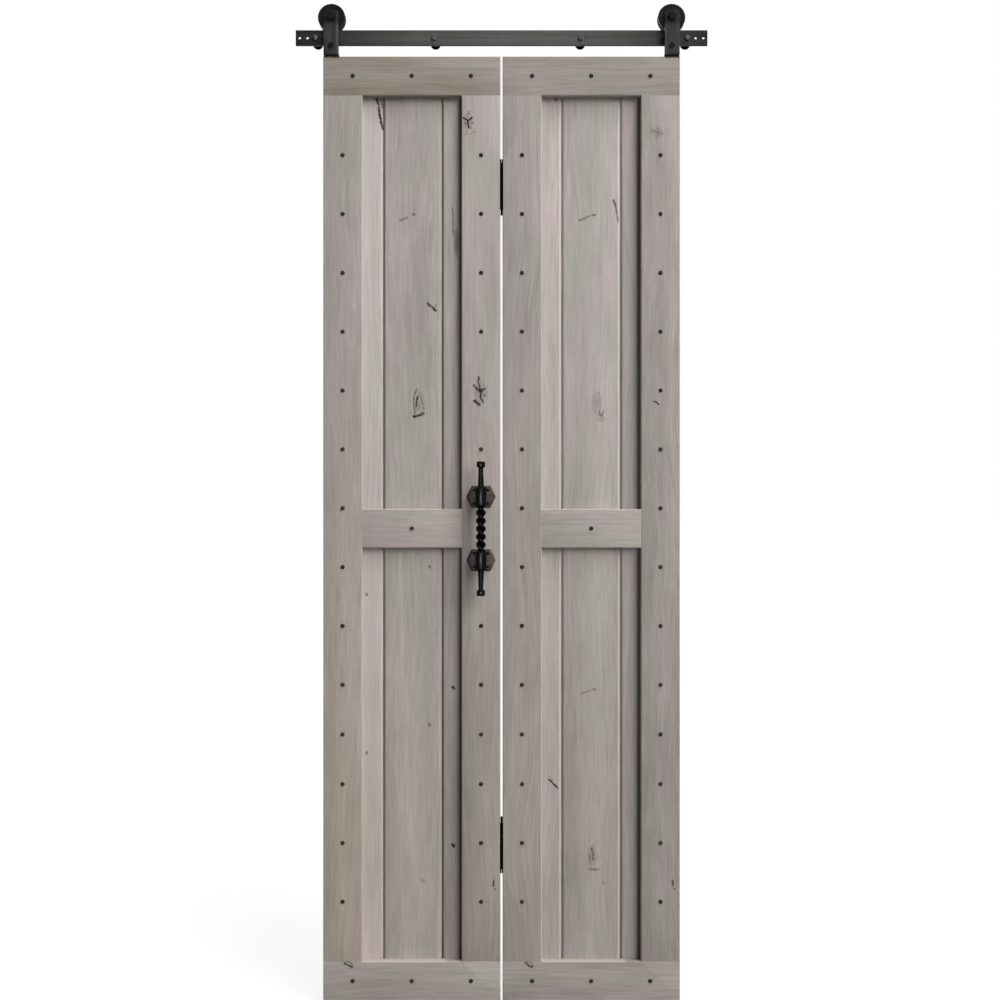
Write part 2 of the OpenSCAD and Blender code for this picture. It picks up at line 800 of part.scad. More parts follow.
module track_rail() {
    half_h = track_h / 2;
    half_t = track_t / 2;
    section = [
        [-half_t, track_ease - half_h], [track_ease - half_t, -half_h],
        [half_t - track_ease, -half_h], [half_t, track_ease - half_h],
        [half_t, half_h - track_ease], [half_t - track_ease, half_h],
        [track_ease - half_t, half_h], [-half_t, half_h - track_ease]
    ];
    color(iron) translate([0, track_y, 0]) difference() {
        translate([-track_l / 2, 0, 0]) rotate([90, 0, 90]) linear_extrude(track_l) polygon(section);
        for (x = bolt_xs)
            translate([x, -half_t - over, 0]) rotate([-90, 0, 0])
                cylinder(d = lag_d + 2 * bolt_fit, h = track_t + 2 * over);
        for (x = end_hole_xs, side = [-1, 1])
            translate([side * x, -half_t - over, 0]) rotate([-90, 0, 0])
                cylinder(d = end_hole_d, h = track_t + 2 * over);
    }
}

module standoffs() {
    color(iron) for (x = bolt_xs)
        translate([x, -standoff_l, 0]) rotate([-90, 0, 0])
            ring(standoff_d, lag_d + 2 * bolt_fit, standoff_l);
}

module lag_bolts() {
    shank_l = -track_front;
    bolt_l = shank_l + lag_bite;
    color(iron) for (x = bolt_xs)
        translate([x, track_front, 0]) {
            rotate([90, 0, 0]) hex_head(lag_af, lag_head_h);
            rotate([-90, 0, 0]) rotate_extrude() polygon([
                [0, 0], [lag_d / 2, 0], [lag_d / 2, shank_l], [lag_thread_d / 2, shank_l],
                [lag_thread_d / 2, bolt_l - lag_point], [0, bolt_l]
            ]);
        }
}

// Handle pieces

// Eight-sided bar along +z with both ends chamfered, sized across its flats
module flat_barrel(w, h, ease) {
    corner_r = w / 2 / cos(180 / collar_sides);
    tip_r = w / 2 - ease;
    wide_r = corner_r + over;
    cone_h = wide_r - tip_r;
    intersection() {
        rotate([0, 0, 180 / collar_sides]) cylinder(r = corner_r, h = h, $fn = collar_sides);
        rotate_extrude() polygon([
            [0, 0], [tip_r, 0], [wide_r, cone_h], [wide_r, h - cone_h], [tip_r, h], [0, h]
        ]);
    }
}

// Two strands wound round each other along the grip
module twisted_grip() {
    strand_offset = (strand_d - strand_merge) / 2;
    twist_l = grip_l + 2 * grip_root;
    translate([0, 0, -twist_l / 2])
        linear_extrude(twist_l, twist = 360 * grip_turns, slices = grip_slices)
            for (side = [-1, 1])
                translate([side * strand_offset, 0]) circle(d = strand_d, $fn = strand_sides);
}

// Collar, tapered shank and knob beyond the grip's upper end
module handle_end() {
    translate([0, 0, grip_l / 2]) {
        flat_barrel(collar_w, collar_l, collar_ease);
        translate([0, 0, collar_l - collar_ease])
            cylinder(d1 = shank_root_w, d2 = shank_tip_w, h = shank_l + collar_ease + knob_ease);
        translate([0, 0, collar_l + shank_l]) flat_barrel(knob_w, knob_l, knob_ease);
    }
}

module handle_bar() {
    color(iron) translate([handle_x, bar_y, leaf_mid]) {
        twisted_grip();
        handle_end();
        mirror([0, 0, 1]) handle_end();
        for (z = [-rosette_z, rosette_z])
            translate([0, 0, z]) rotate([-90, 0, 0]) {
                cylinder(d = post_d, h = handle_reach - rosette_t);
                cylinder(d = tenon_d, h = handle_reach);
            }
    }
}

// Six-sided plate pointing left and right, with a bevel rising to its front
module rosette(z) {
    outline = [
        [rosette_w / 2, 0], [rosette_flat_w / 2, rosette_h / 2], [-rosette_flat_w / 2, rosette_h / 2],
        [-rosette_w / 2, 0], [-rosette_flat_w / 2, -rosette_h / 2], [rosette_flat_w / 2, -rosette_h / 2]
    ];
    edge_t = rosette_t - rosette_rise;
    color(iron) difference() {
        translate([handle_x, leaf_front, leaf_mid + z]) rotate([90, 0, 0]) {
            linear_extrude(edge_t) polygon(outline);
            translate([0, 0, edge_t])
                linear_extrude(rosette_rise, scale = rosette_top_share) polygon(outline);
        }
        translate([handle_x, leaf_front - rosette_t - over, leaf_mid + z]) rotate([-90, 0, 0])
            cylinder(d = tenon_d + 2 * fit, h = rosette_t + 2 * over);
        rosette_screw_holes();
    }
}

module handle_upper_rosette() rosette(rosette_z);
module handle_lower_rosette() rosette(-rosette_z);

module handle_screws() {
    color(iron) at_rosette_screws() {
        dome(rosette_head_d, rosette_head_h);
        translate([0, 0, -rosette_head_h / 2])
            cylinder(d = rosette_screw_d, h = rosette_head_h / 2 + rosette_screw_l);
    }
}

// Left-hand pieces
module left_strap() color(iron) strap();
module left_axle_bolt() color(steel) axle_bolt();
module left_axle_nut() color(steel) axle_nut();
module left_axle_spacers() color(steel) axle_spacers();
module left_jump_pin() color(steel) jump_pin();
module left_swivel_bush() color(nylon) swivel_bush();
module left_wheel() color(iron) wheel();
module left_bearing() color(steel) bearing();
module left_pivot_plate() color(steel) pivot_plate();
module left_plate_screws() color(steel) plate_screws();
module left_swivel_bolt() color(steel) swivel_bolt();
module left_thrust_washer() color(nylon) thrust_washer();
module left_outer_stile() color(wood) outer_stile();
module left_inner_stile() color(wood) difference() {
    inner_stile(true);
    rosette_screw_holes();
}
module left_top_rail() color(wood) top_rail();
module left_mid_rail() color(wood) mid_rail();
module left_bottom_rail() color(wood) bottom_rail();
module left_outer_plank() color(plank_wood) plank(0, true);
module left_middle_plank() color(plank_wood) plank(1, true);
module left_inner_plank() color(plank_wood) plank(2, true);
module left_clavos() color(iron) clavos(true);
module left_hinge_screws() color(iron) in_leaf() hinge_screw_rows();

// Right-hand pieces
module right_strap() color(iron) on_side(true) strap();
module right_axle_bolt() color(steel) on_side(true) axle_bolt();
module right_axle_nut() color(steel) on_side(true) axle_nut();
module right_axle_spacers() color(steel) on_side(true) axle_spacers();
module right_jump_pin() color(steel) on_side(true) jump_pin();
module right_swivel_bush() color(nylon) on_side(true) swivel_bush();
module right_wheel() color(iron) on_side(true) wheel();
module right_bearing() color(steel) on_side(true) bearing();
module right_pivot_plate() color(steel) on_side(true) pivot_plate();
module right_plate_screws() color(steel) on_side(true) plate_screws();
module right_swivel_bolt() color(steel) on_side(true) swivel_bolt();
module right_thrust_washer() color(nylon) on_side(true) thrust_washer();
module right_outer_stile() color(wood) on_side(true) outer_stile();
module right_inner_stile() color(wood) on_side(true) inner_stile(false);
module right_top_rail() color(wood) on_side(true) top_rail();
module right_mid_rail() color(wood) on_side(true) mid_rail();
module right_bottom_rail() color(wood) on_side(true) bottom_rail();
module right_outer_plank() color(plank_wood) on_side(true) plank(0, false);
module right_middle_plank() color(plank_wood) on_side(true) plank(1, false);
module right_inner_plank() color(plank_wood) on_side(true) plank(2, false);
module right_clavos() color(iron) on_side(true) clavos(false);
module right_hinge_screws() color(iron) on_side(true) in_leaf() hinge_screw_rows();

// Hinges between the leaves
module upper_hinge_left_plate() color(iron) hinge_left_plate(upper_hinge_z);
module upper_hinge_right_plate() color(iron) hinge_right_plate(upper_hinge_z);
module upper_hinge_pin() color(iron) hinge_pin(upper_hinge_z);
module lower_hinge_left_plate() color(iron) hinge_left_plate(lower_hinge_z);
module lower_hinge_right_plate() color(iron) hinge_right_plate(lower_hinge_z);
module lower_hinge_pin() color(iron) hinge_pin(lower_hinge_z);

track_rail();
standoffs();
lag_bolts();
left_strap();
left_axle_bolt();
left_axle_nut();
left_axle_spacers();
left_jump_pin();
left_swivel_bush();
left_wheel();
left_bearing();
right_strap();
right_axle_bolt();
right_axle_nut();
right_axle_spacers();
right_jump_pin();
right_swivel_bush();
right_wheel();
right_bearing();
left_pivot_plate();
left_plate_screws();
left_swivel_bolt();
left_thrust_washer();
right_pivot_plate();
right_plate_screws();
right_swivel_bolt();
right_thrust_washer();
left_outer_stile();
left_inner_stile();
left_top_rail();
left_mid_rail();
left_bottom_rail();
left_outer_plank();
left_middle_plank();
left_inner_plank();
left_clavos();
right_outer_stile();
right_inner_stile();
right_top_rail();
right_mid_rail();
right_bottom_rail();
right_outer_plank();
right_middle_plank();
right_inner_plank();
right_clavos();
upper_hinge_left_plate();
upper_hinge_right_plate();
upper_hinge_pin();
lower_hinge_left_plate();
lower_hinge_right_plate();
lower_hinge_pin();
left_hinge_screws();
right_hinge_screws();
handle_bar();
handle_upper_rosette();
handle_lower_rosette();
handle_screws();
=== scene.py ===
import json
import logging
import math
from dataclasses import dataclass, field, replace
from enum import Enum
from typing import Iterable, Optional, Union

import bmesh
import bpy
from mathutils import Matrix, Vector

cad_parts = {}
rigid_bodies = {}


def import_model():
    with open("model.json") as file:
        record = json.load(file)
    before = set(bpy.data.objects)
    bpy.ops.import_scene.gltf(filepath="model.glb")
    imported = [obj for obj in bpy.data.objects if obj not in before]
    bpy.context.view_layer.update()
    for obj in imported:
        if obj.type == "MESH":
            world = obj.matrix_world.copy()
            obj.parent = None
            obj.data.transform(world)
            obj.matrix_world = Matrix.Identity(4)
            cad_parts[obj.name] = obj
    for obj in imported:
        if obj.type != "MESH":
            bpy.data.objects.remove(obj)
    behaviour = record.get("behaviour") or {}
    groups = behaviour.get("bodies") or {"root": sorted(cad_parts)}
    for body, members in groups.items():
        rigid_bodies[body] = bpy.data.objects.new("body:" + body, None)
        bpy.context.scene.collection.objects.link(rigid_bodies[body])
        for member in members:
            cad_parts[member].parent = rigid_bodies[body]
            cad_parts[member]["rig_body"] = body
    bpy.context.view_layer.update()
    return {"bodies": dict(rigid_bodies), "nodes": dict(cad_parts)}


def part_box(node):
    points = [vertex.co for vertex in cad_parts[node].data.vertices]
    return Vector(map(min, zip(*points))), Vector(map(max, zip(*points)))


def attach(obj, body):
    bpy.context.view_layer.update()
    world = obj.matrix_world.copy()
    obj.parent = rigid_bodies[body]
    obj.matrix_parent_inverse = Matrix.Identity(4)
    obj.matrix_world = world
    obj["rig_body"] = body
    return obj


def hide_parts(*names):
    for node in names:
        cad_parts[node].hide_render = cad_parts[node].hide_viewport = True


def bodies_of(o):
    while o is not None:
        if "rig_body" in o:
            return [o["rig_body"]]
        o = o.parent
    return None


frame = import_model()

logging.basicConfig(level=logging.INFO, format="%(name)s: %(message)s")
log = logging.getLogger("bifold_door")

Colour = tuple[float, float, float, float]
Point = tuple[float, float, float]
Socket = bpy.types.NodeSocket
Value = Union[float, Point, Colour, Vector, Socket]

# Lengths are in metres, as in the frame.
WELD = 1e-6
MILLIMETRE = 0.001
FLAT_ANGLE = math.radians(0.4)
SMOOTH_ANGLE = math.radians(32)
DOOR_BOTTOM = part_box("left_bottom_rail")[0].z
LEAF_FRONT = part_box("left_outer_stile")[0].y
# Painted highlight: an upright line on each strap, just in from its inner edge.
STRAP_GLINT_INSET = 0.003
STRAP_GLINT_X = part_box("right_strap")[0].x + STRAP_GLINT_INSET

ACROSS: Point = (1.0, 0.0, 0.0)
DEEP: Point = (0.0, 1.0, 0.0)
UP: Point = (0.0, 0.0, 1.0)
WHITE: Colour = (1.0, 1.0, 1.0, 1.0)
NOISE_MEAN: Point = (0.5, 0.5, 0.5)

# The screen's colour curve: a straight toe, then a power.
TOE_END, TOE_SLOPE = 0.04045, 12.92
CURVE_OFFSET, CURVE_POWER = 0.055, 2.4


def linear(part: int) -> float:
    """One channel of a colour without the screen's curve.

    Args:
        part: Channel, 0 to 255.

    Returns:
        Its light, 0 to 1.
    """
    share = part / 255
    if share <= TOE_END:
        return share / TOE_SLOPE
    return ((share + CURVE_OFFSET) / (1 + CURVE_OFFSET)) ** CURVE_POWER


def paint(red: int, green: int, blue: int) -> Colour:
    """Linear colour of an 8-bit screen colour.

    Args:
        red: Red, 0 to 255.
        green: Green, 0 to 255.
        blue: Blue, 0 to 255.

    Returns:
        Red, green, blue and alpha as shaders read them.
    """
    return linear(red), linear(green), linear(blue), 1.0


class Side(Enum):
    """Leaf of the door, as seen from the front."""

    LEFT = "left"
    RIGHT = "right"


class Grain(Enum):
    """Way that a board's grain runs."""

    UPRIGHT = 0.0
    LEVEL = math.pi / 2


@dataclass(frozen=True)
class Cloud:
    """Noise: clouds per unit, octaves, and strength of the finer octaves."""

    scale: float = 1.0
    detail: float = 2.0
    rough: float = 0.5


class Wires:
    """Node tree, with short calls for what the finishes share."""

    def __init__(self, tree: bpy.types.NodeTree) -> None:
        """Hold the tree that nodes are added to."""
        self.tree = tree

    def node(self, kind: str, feeds: Optional[dict[str, Value]] = None, **settings: object) -> bpy.types.Node:
        """Add a node.

        Args:
            kind: Type of the node.
            feeds: Values for its inputs, by name.
            settings: Properties to set on it.

        Returns:
            The new node.
        """
        made = self.tree.nodes.new(kind)
        for name, value in settings.items():
            setattr(made, name, value)
        for name, value in (feeds or {}).items():
            self.feed(made.inputs[name], value)
        return made

    def row(self, kind: str, values: Iterable[Value], **settings: object) -> bpy.types.Node:
        """Add a node and feed its inputs in their order.

        Args:
            kind: Type of the node.
            values: Values for its first inputs.
            settings: Properties to set on it.

        Returns:
            The new node.
        """
        made = self.node(kind, **settings)
        for socket, value in zip(made.inputs, values):
            self.feed(socket, value)
        return made

    def feed(self, socket: Socket, value: Value) -> None:
        """Link a socket, or set it where the value is a constant.

        Args:
            socket: Input to feed.
            value: Output to link, or constant to set.
        """
        if isinstance(value, bpy.types.NodeSocket):
            self.tree.links.new(value, socket)
        else:
            socket.default_value = value

    def place(self) -> Socket:
        """Point on the object, in the frame."""
        return self.node("ShaderNodeTexCoord").outputs["Object"]

    def maths(self, operation: str, *values: Value) -> Socket:
        """Result of a sum on numbers."""
        return self.row("ShaderNodeMath", values, operation=operation).outputs[0]

    def vector(self, operation: str, *values: Value) -> Socket:
        """Result of a sum on points: a number for DOT_PRODUCT and LENGTH."""
        made = self.row("ShaderNodeVectorMath", values, operation=operation)
        return made.outputs["Value" if operation in ("DOT_PRODUCT", "LENGTH") else "Vector"]

    def dim(self, colour: Value, share: Value) -> Socket:
        """Colour times a number."""
        made = self.node("ShaderNodeVectorMath", {"Vector": colour, "Scale": share}, operation="SCALE")
        return made.outputs["Vector"]

    def turned(self, place: Value, shift: Point, angle: float) -> Socket:
        """Point moved, then turned about Y.

        Args:
            place: Point to start from.
            shift: Step added before the turn.
            angle: Turn about Y, in radians.

        Returns:
            The new point.
        """
        moved = self.vector("ADD", place, shift)
        made = self.node("ShaderNodeVectorRotate", {"Vector": moved, "Angle": angle}, rotation_type="Y_AXIS")
        return made.outputs["Vector"]

    def noise(self, place: Value, cloud: Cloud) -> Socket:
        """Cloudy noise.

        Args:
            place: Point that it reads.
            cloud: Its kind.

        Returns:
            Height, about 0.5 on average.
        """
        feeds = {"Vector": place, "Scale": cloud.scale, "Detail": cloud.detail, "Roughness": cloud.rough}
        return self.node("ShaderNodeTexNoise", feeds).outputs[0]

    def rings(self, distance: Value, cloud: Cloud) -> Socket:
        """Uneven rings along a distance.

        Args:
            distance: Distance from the tree's middle.
            cloud: Their kind.

        Returns:
            Height, about 0.5 on average.
        """
        feeds = {"W": distance, "Scale": cloud.scale, "Detail": cloud.detail, "Roughness": cloud.rough}
        return self.node("ShaderNodeTexNoise", feeds, noise_dimensions="1D").outputs[0]

    def jitter(self, place: Value, scale: float, amount: float) -> Socket:
        """Point shaken across X and Z.

        Args:
            place: Point to shake.
            scale: Clouds per metre.
            amount: Largest step from end to end.

        Returns:
            The shaken point.
        """
        made = self.node("ShaderNodeTexNoise", {"Vector": place, "Scale": scale})
        step = self.vector("SUBTRACT", made.outputs["Color"], NOISE_MEAN)
        return self.vector("MULTIPLY_ADD", step, (amount, 0.0, amount), place)

    def span(self, value: Value, start: float, end: float, low: float = 0.0, high: float = 1.0) -> Socket:
        """Smooth step between two values.

        Args:
            value: Number to read.
            start: Where the step begins.
            end: Where the step ends.
            low: Result at the start.
            high: Result at the end.

        Returns:
            Number between low and high.
        """
        values = (value, start, end, low, high)
        return self.row("ShaderNodeMapRange", values, interpolation_type="SMOOTHSTEP").outputs[0]

    def mix(self, share: Value, first: Value, second: Value) -> Socket:
        """Colour between two others.

        Args:
            share: Share of the second colour.
            first: Colour at share 0.
            second: Colour at share 1.

        Returns:
            The colour.
        """
        made = self.node("ShaderNodeMix", data_type="RGBA")
        colours = [socket for socket in made.inputs if socket.type == "RGBA"]
        for socket, value in zip((made.inputs[0], *colours), (share, first, second)):
            self.feed(socket, value)
        return next(socket for socket in made.outputs if socket.type == "RGBA")

    def bump(self, height: Value, depth: float, strength: float = 1.0) -> Socket:
        """Normal of a surface that rises with a height.

        Args:
            height: Height, 0 to 1.
            depth: Rise at height 1.
            strength: Share of the rise that is used.

        Returns:
            The bent normal.
        """
        feeds = {"Strength": strength, "Distance": depth, "Height": height}
        return self.node("ShaderNodeBump", feeds).outputs["Normal"]


class Surface(Wires):
    """Wires of a new material with a plain shader."""

    def __init__(self, name: str) -> None:
        """Start the material.

        Args:
            name: Name of the material.
        """
        self.material = bpy.data.materials.new(name)
        self.material.use_nodes = True
        super().__init__(self.material.node_tree)
        self.tree.nodes.clear()
        self.shader = self.node("ShaderNodeBsdfPrincipled")
        self.node("ShaderNodeOutputMaterial", {"Surface": self.shader.outputs["BSDF"]})

    def set(self, **values: Value) -> None:
        """Feed the shader's sockets, named with underscores for spaces."""
        for name, value in values.items():
            self.feed(self.shader.inputs[name.replace("_", " ")], value)


@dataclass(frozen=True)
class Knot:
    """Oval knot in a board; x runs from the door's middle and h from its bottom.

    Its reaches are distances from its middle as shares of its half size.
    """

    x: float
    h: float
    half_w: float
    half_h: float
    dark: float

    UNEVEN = 0.5
    SWELL_REACH = 2.4
    SWELL_SHARE = 2.2
    HEART_REACHES = (1.35, 0.35)
    RING_REACHES = (1.7, 0.7)
    RING_TURN = 3.4
    RING_EDGES = (0.45, 0.05)
    RING_SHARE = 0.5

    def reach(self, wires: Wires, place: Socket, wander: Socket) -> Socket:
        """Distance from the knot's middle, 1 at its uneven rim.

        Args:
            wires: Node tree of the board.
            place: Point on the board, in metres.
            wander: Noise that makes the rim uneven.

        Returns:
            The distance as a share of the knot's half size.
        """
        step = wires.vector("SUBTRACT", place, (self.x, 0, DOOR_BOTTOM + self.h))
        stretched = wires.vector("MULTIPLY", step, (1 / self.half_w, 0, 1 / self.half_h))
        uneven = wires.maths("MULTIPLY_ADD", wander, self.UNEVEN, -self.UNEVEN / 2)
        return wires.maths("ADD", wires.vector("LENGTH", stretched), uneven)

    def swell(self, wires: Wires, reach: Socket) -> Socket:
        """Push that leads the grain round the knot."""
        return wires.span(reach, self.SWELL_REACH, 0.0, 0.0, self.SWELL_SHARE * self.half_w)

    def heart(self, wires: Wires, reach: Socket) -> Socket:
        """Share of the knot's own colour."""
        return wires.span(reach, *self.HEART_REACHES, 0.0, self.dark)

    def rings(self, wires: Wires, reach: Socket) -> Socket:
        """Darkness of the fine rings at its rim.

        Args:
            wires: Node tree of the board.
            reach: Distance from the knot's middle.

        Returns:
            The darkness, 0 away from the knot.
        """
        wave = wires.maths("SINE", wires.maths("MULTIPLY", reach, self.RING_TURN))
        ring = wires.span(wires.maths("ABSOLUTE", wave), *self.RING_EDGES)
        edge = wires.maths("MULTIPLY", ring, wires.span(reach, *self.RING_REACHES))
        return wires.maths("MULTIPLY", edge, self.RING_SHARE * self.dark)


@dataclass(frozen=True)
class Split:
    """Dark crack between two points of a board, widest in its middle; it also draws the painted shadow under
    each hanger.
    """

    x0: float
    h0: float
    x1: float
    h1: float
    width: float
    dark: float

    SOFT_SHARE = 1 / 3
    FULL_BOW = 0.16

    def mask(self, wires: Wires, place: Socket) -> Socket:
        """Darkness of the crack.

        Args:
            wires: Node tree of the board.
            place: Point on the board, in metres.

        Returns:
            Darkness, 0 outside the crack.
        """
        run = Vector((self.x1 - self.x0, 0, self.h1 - self.h0))
        along = run.normalized()
        across = Vector((-along.z, 0, along.x))
        step = wires.vector("SUBTRACT", place, (self.x0, 0, DOOR_BOTTOM + self.h0))
        share = wires.maths("DIVIDE", wires.vector("DOT_PRODUCT", step, along), run.length)
        off = wires.maths("ABSOLUTE", wires.vector("DOT_PRODUCT", step, across))
        bow = wires.maths("MULTIPLY", share, wires.maths("SUBTRACT", 1.0, share))
        soft = self.width * self.SOFT_SHARE
        half = wires.span(bow, 0.0, self.FULL_BOW, -soft, self.width / 2)
        return wires.span(wires.maths("SUBTRACT", half, off), -soft, soft, 0.0, self.dark)


@dataclass(frozen=True)
class Line:
    """Line along an edge, upright at a distance across, or level at a height: dark for dirt and painted
    shade, pale for a painted highlight.

    It is drawn no deeper into the door than the back, and between its ends where it has them.
    """

    at: float
    back: float
    half_w: float
    share: float
    painted_highlight: bool = False
    across: Point = ACROSS
    ends: Optional[tuple[float, float]] = None

    CORE_SHARE = 0.3
    BACK_FADE = 0.001
    END_FADE = 0.012

    def mask(self, wires: Wires, place: Socket) -> Socket:
        """Strength of the line.

        Args:
            wires: Node tree of the board.
            place: Point on the board, in metres.

        Returns:
            Strength, 0 beside the line.
        """
        there = wires.vector("DOT_PRODUCT", place, self.across)
        off = wires.maths("ABSOLUTE", wires.maths("SUBTRACT", there, self.at))
        front = wires.span(wires.vector("DOT_PRODUCT", place, DEEP), self.back, self.back - self.BACK_FADE)
        drawn = wires.span(off, self.half_w, self.half_w * self.CORE_SHARE, 0.0, self.share)
        if self.ends:
            start, end = self.ends
            half = (end - start) / 2
            along = wires.vector("DOT_PRODUCT", place, self.across[::-1])
            aside = wires.maths("ABSOLUTE", wires.maths("SUBTRACT", along, (start + end) / 2))
            drawn = wires.maths("MULTIPLY", drawn, wires.span(aside, half, half - self.END_FADE))
        return wires.maths("MULTIPLY", front, drawn)


Mark = Union[Knot, Split, Line]


@dataclass(frozen=True)
class StainedWood:
    """Grey stained knotty wood, drawn as the rings and fibres that a board cuts through.

    The tone scales its brightness, and the seed makes it a board of its own. Olive is its share of warm
    stain. At the foot of an upright board, dusk adds to that share, and the foot shade darkens the wood as
    painted shade for the light that falls off down the door; a negative foot shade paints light there.
    """

    grain: Grain
    tone: float
    seed: float
    olive: float
    dusk: float = 0.0
    age: float = 0.0
    marks: tuple[Mark, ...] = ()

    MAUVE = paint(169, 158, 157)
    SAGE = paint(161, 157, 151)
    OLIVE = paint(146, 134, 117)
    KNOT = paint(112, 98, 92)
    # Colour of the painted highlights.
    HIGHLIGHT_PALE = paint(214, 206, 199)
    # Colour of cracks, knot rims and dirt, and also of the painted shade lines and the painted shadow under
    # the hangers.
    CRACK_AND_SHADE_INK = paint(17, 14, 14)

    SEED_STEPS = (3.17, 1.31, 7.93)
    SEED_TURNS = (2.3, 1.7, 4.1)
    HEART_ASIDE = 0.06
    HEART_DEPTH = 0.05
    HEART_SWAY = 0.03
    TILT = 0.035
    TILT_TURN = 0.8
    BEND = 0.09
    BEND_STRETCH = (5.0, 5.0, 1.7)
    CLOUD_STRETCH = (15.0, 15.0, 3.4)
    MOTTLE_STRETCH = (48.0, 48.0, 13.0)
    FIBRE_STRETCH = 0.022
    HAZE_SHIFT = (9.0, 4.0, 2.0)
    LIGHT_SHIFT = (3.0, 8.0, 5.0)

    BENDS = Cloud()
    RINGS = Cloud(150.0, 2.5, 0.6)
    FIBRE = Cloud(340.0, 3.0, 0.62)
    BANDS = Cloud(110.0, 3.0, 0.62)
    MOTTLE = Cloud(1.0, 3.0, 0.6)
    HUE = Cloud()
    HAZE = Cloud(0.7)
    LIGHT = Cloud(0.9)
    WANDER = Cloud(95.0)
    BREAKS = Cloud(330.0)
    SHAKES = ((95.0, 0.006), (420.0, 0.0036))

    HUE_SPAN = (0.36, 0.64)
    HAZE_SPAN = (0.38, 0.66)
    HAZE_SHARE = 0.45
    BREAK_SPAN = (0.32, 0.48)
    BREAK_SHARE = 0.6
    FOOT_SPAN = (0.8, -0.8)
    CONTRASTS = {"rings": 0.16, "fibre": 0.66, "bands": 0.30, "light": 0.30, "mottle": 0.22}
    ROUGH = 0.58
    ROUGH_SPREAD = 0.24
    SHINE = 0.16
    BUMP_DEPTH = 0.0004
    BUMP_SHARE = 0.55

    def make(self, name: str, centre: Vector) -> bpy.types.Material:
        """Make the material of one board.

        Args:
            name: Name of the material.
            centre: Middle of the board.

        Returns:
            The material.
        """
        wires = Surface(name)
        here = wires.place()
        local = wires.turned(here, tuple(-centre), self.grain.value)
        drift = wires.vector("ADD", local, tuple(self.seed * step for step in self.SEED_STEPS))
        across, deep, along = self.cut(wires, local, drift)
        radius = wires.maths("SQRT", wires.maths("ADD", wires.maths("MULTIPLY", across, across),
                                                 wires.maths("MULTIPLY", deep, deep)))
        radius, knotty, rim = self.knots(wires, here, radius)
        ink_and_shade, painted_highlight = self.stains(wires, here)
        clouds = wires.vector("MULTIPLY", drift, self.CLOUD_STRETCH)
        thread = wires.maths("MULTIPLY", along, self.FIBRE_STRETCH)
        streak = wires.row("ShaderNodeCombineXYZ", (across, deep, thread)).outputs[0]
        fibre = wires.noise(streak, self.FIBRE)
        heights = {
            "rings": wires.rings(radius, self.RINGS),
            "fibre": fibre,
            "bands": wires.noise(streak, self.BANDS),
            "light": wires.noise(wires.vector("ADD", clouds, self.LIGHT_SHIFT), self.LIGHT),
            "mottle": wires.noise(wires.vector("MULTIPLY", drift, self.MOTTLE_STRETCH), self.MOTTLE),
        }
        foot = wires.span(along, *self.FOOT_SPAN) if self.grain is Grain.UPRIGHT else 0.0
        # Painted shade: darker towards the foot of an upright board, lighter there where the foot shade is
        # negative.
        shade = wires.maths("MULTIPLY_ADD", foot, -self.age * self.tone, self.tone)
        for kind, height in heights.items():
            contrast = self.CONTRASTS[kind]
            shade = wires.maths("ADD", shade, wires.maths("MULTIPLY_ADD", height, contrast, -contrast / 2))
        # Painted highlights first, then the knots, then cracks, dirt and painted shade in one dark colour.
        colour = wires.mix(painted_highlight, wires.dim(self.stain(wires, clouds, foot), shade), self.HIGHLIGHT_PALE)
        colour = wires.mix(knotty, colour, self.KNOT)
        colour = wires.mix(wires.maths("MAXIMUM", ink_and_shade, rim), colour, self.CRACK_AND_SHADE_INK)
        rough = wires.maths("MULTIPLY_ADD", fibre, self.ROUGH_SPREAD, self.ROUGH)
        wires.set(Base_Color=colour, Roughness=rough, Specular_IOR_Level=self.SHINE,
                  Normal=wires.bump(fibre, self.BUMP_DEPTH, self.BUMP_SHARE))
        return wires.material

    def cut(self, wires: Wires, local: Socket, drift: Socket) -> tuple[Socket, Socket, Socket]:
        """Place of the board's surface in its tree.

        Args:
            wires: Node tree of the board.
            local: Point from the board's middle, with the grain along Z.
            drift: The same point, moved by the seed.

        Returns:
            Distance from the heart across and into the board, and distance along the grain.
        """
        aside_turn, depth_turn, tilt_turn = (self.seed * turn for turn in self.SEED_TURNS)
        aside = self.HEART_ASIDE * math.sin(aside_turn) - self.BEND / 2
        depth = self.HEART_DEPTH + self.HEART_SWAY * math.cos(depth_turn)
        tilt = self.TILT * math.sin(tilt_turn + self.TILT_TURN)
        bend = wires.noise(wires.vector("MULTIPLY", drift, self.BEND_STRETCH), self.BENDS)
        x, y, z = wires.node("ShaderNodeSeparateXYZ", {"Vector": local}).outputs
        across = wires.maths("ADD", x, wires.maths("MULTIPLY_ADD", bend, self.BEND, aside))
        deep = wires.maths("ADD", y, wires.maths("MULTIPLY_ADD", z, tilt, depth))
        return across, deep, z

    def knots(self, wires: Wires, here: Socket, radius: Socket) -> tuple[Socket, Value, Value]:
        """Lead the rings round the knots.

        Args:
            wires: Node tree of the board.
            here: Point on the board, in metres.
            radius: Distance from the heart.

        Returns:
            The distance with the knots in it, the share of their colour, and the darkness of their rims.
        """
        knotty: Value = 0.0
        rim: Value = 0.0
        wander = wires.noise(here, self.WANDER)
        for mark in self.marks:
            if isinstance(mark, Knot):
                reach = mark.reach(wires, here, wander)
                radius = wires.maths("ADD", radius, mark.swell(wires, reach))
                knotty = wires.maths("MAXIMUM", knotty, mark.heart(wires, reach))
                rim = wires.maths("MAXIMUM", rim, mark.rings(wires, reach))
        return radius, knotty, rim

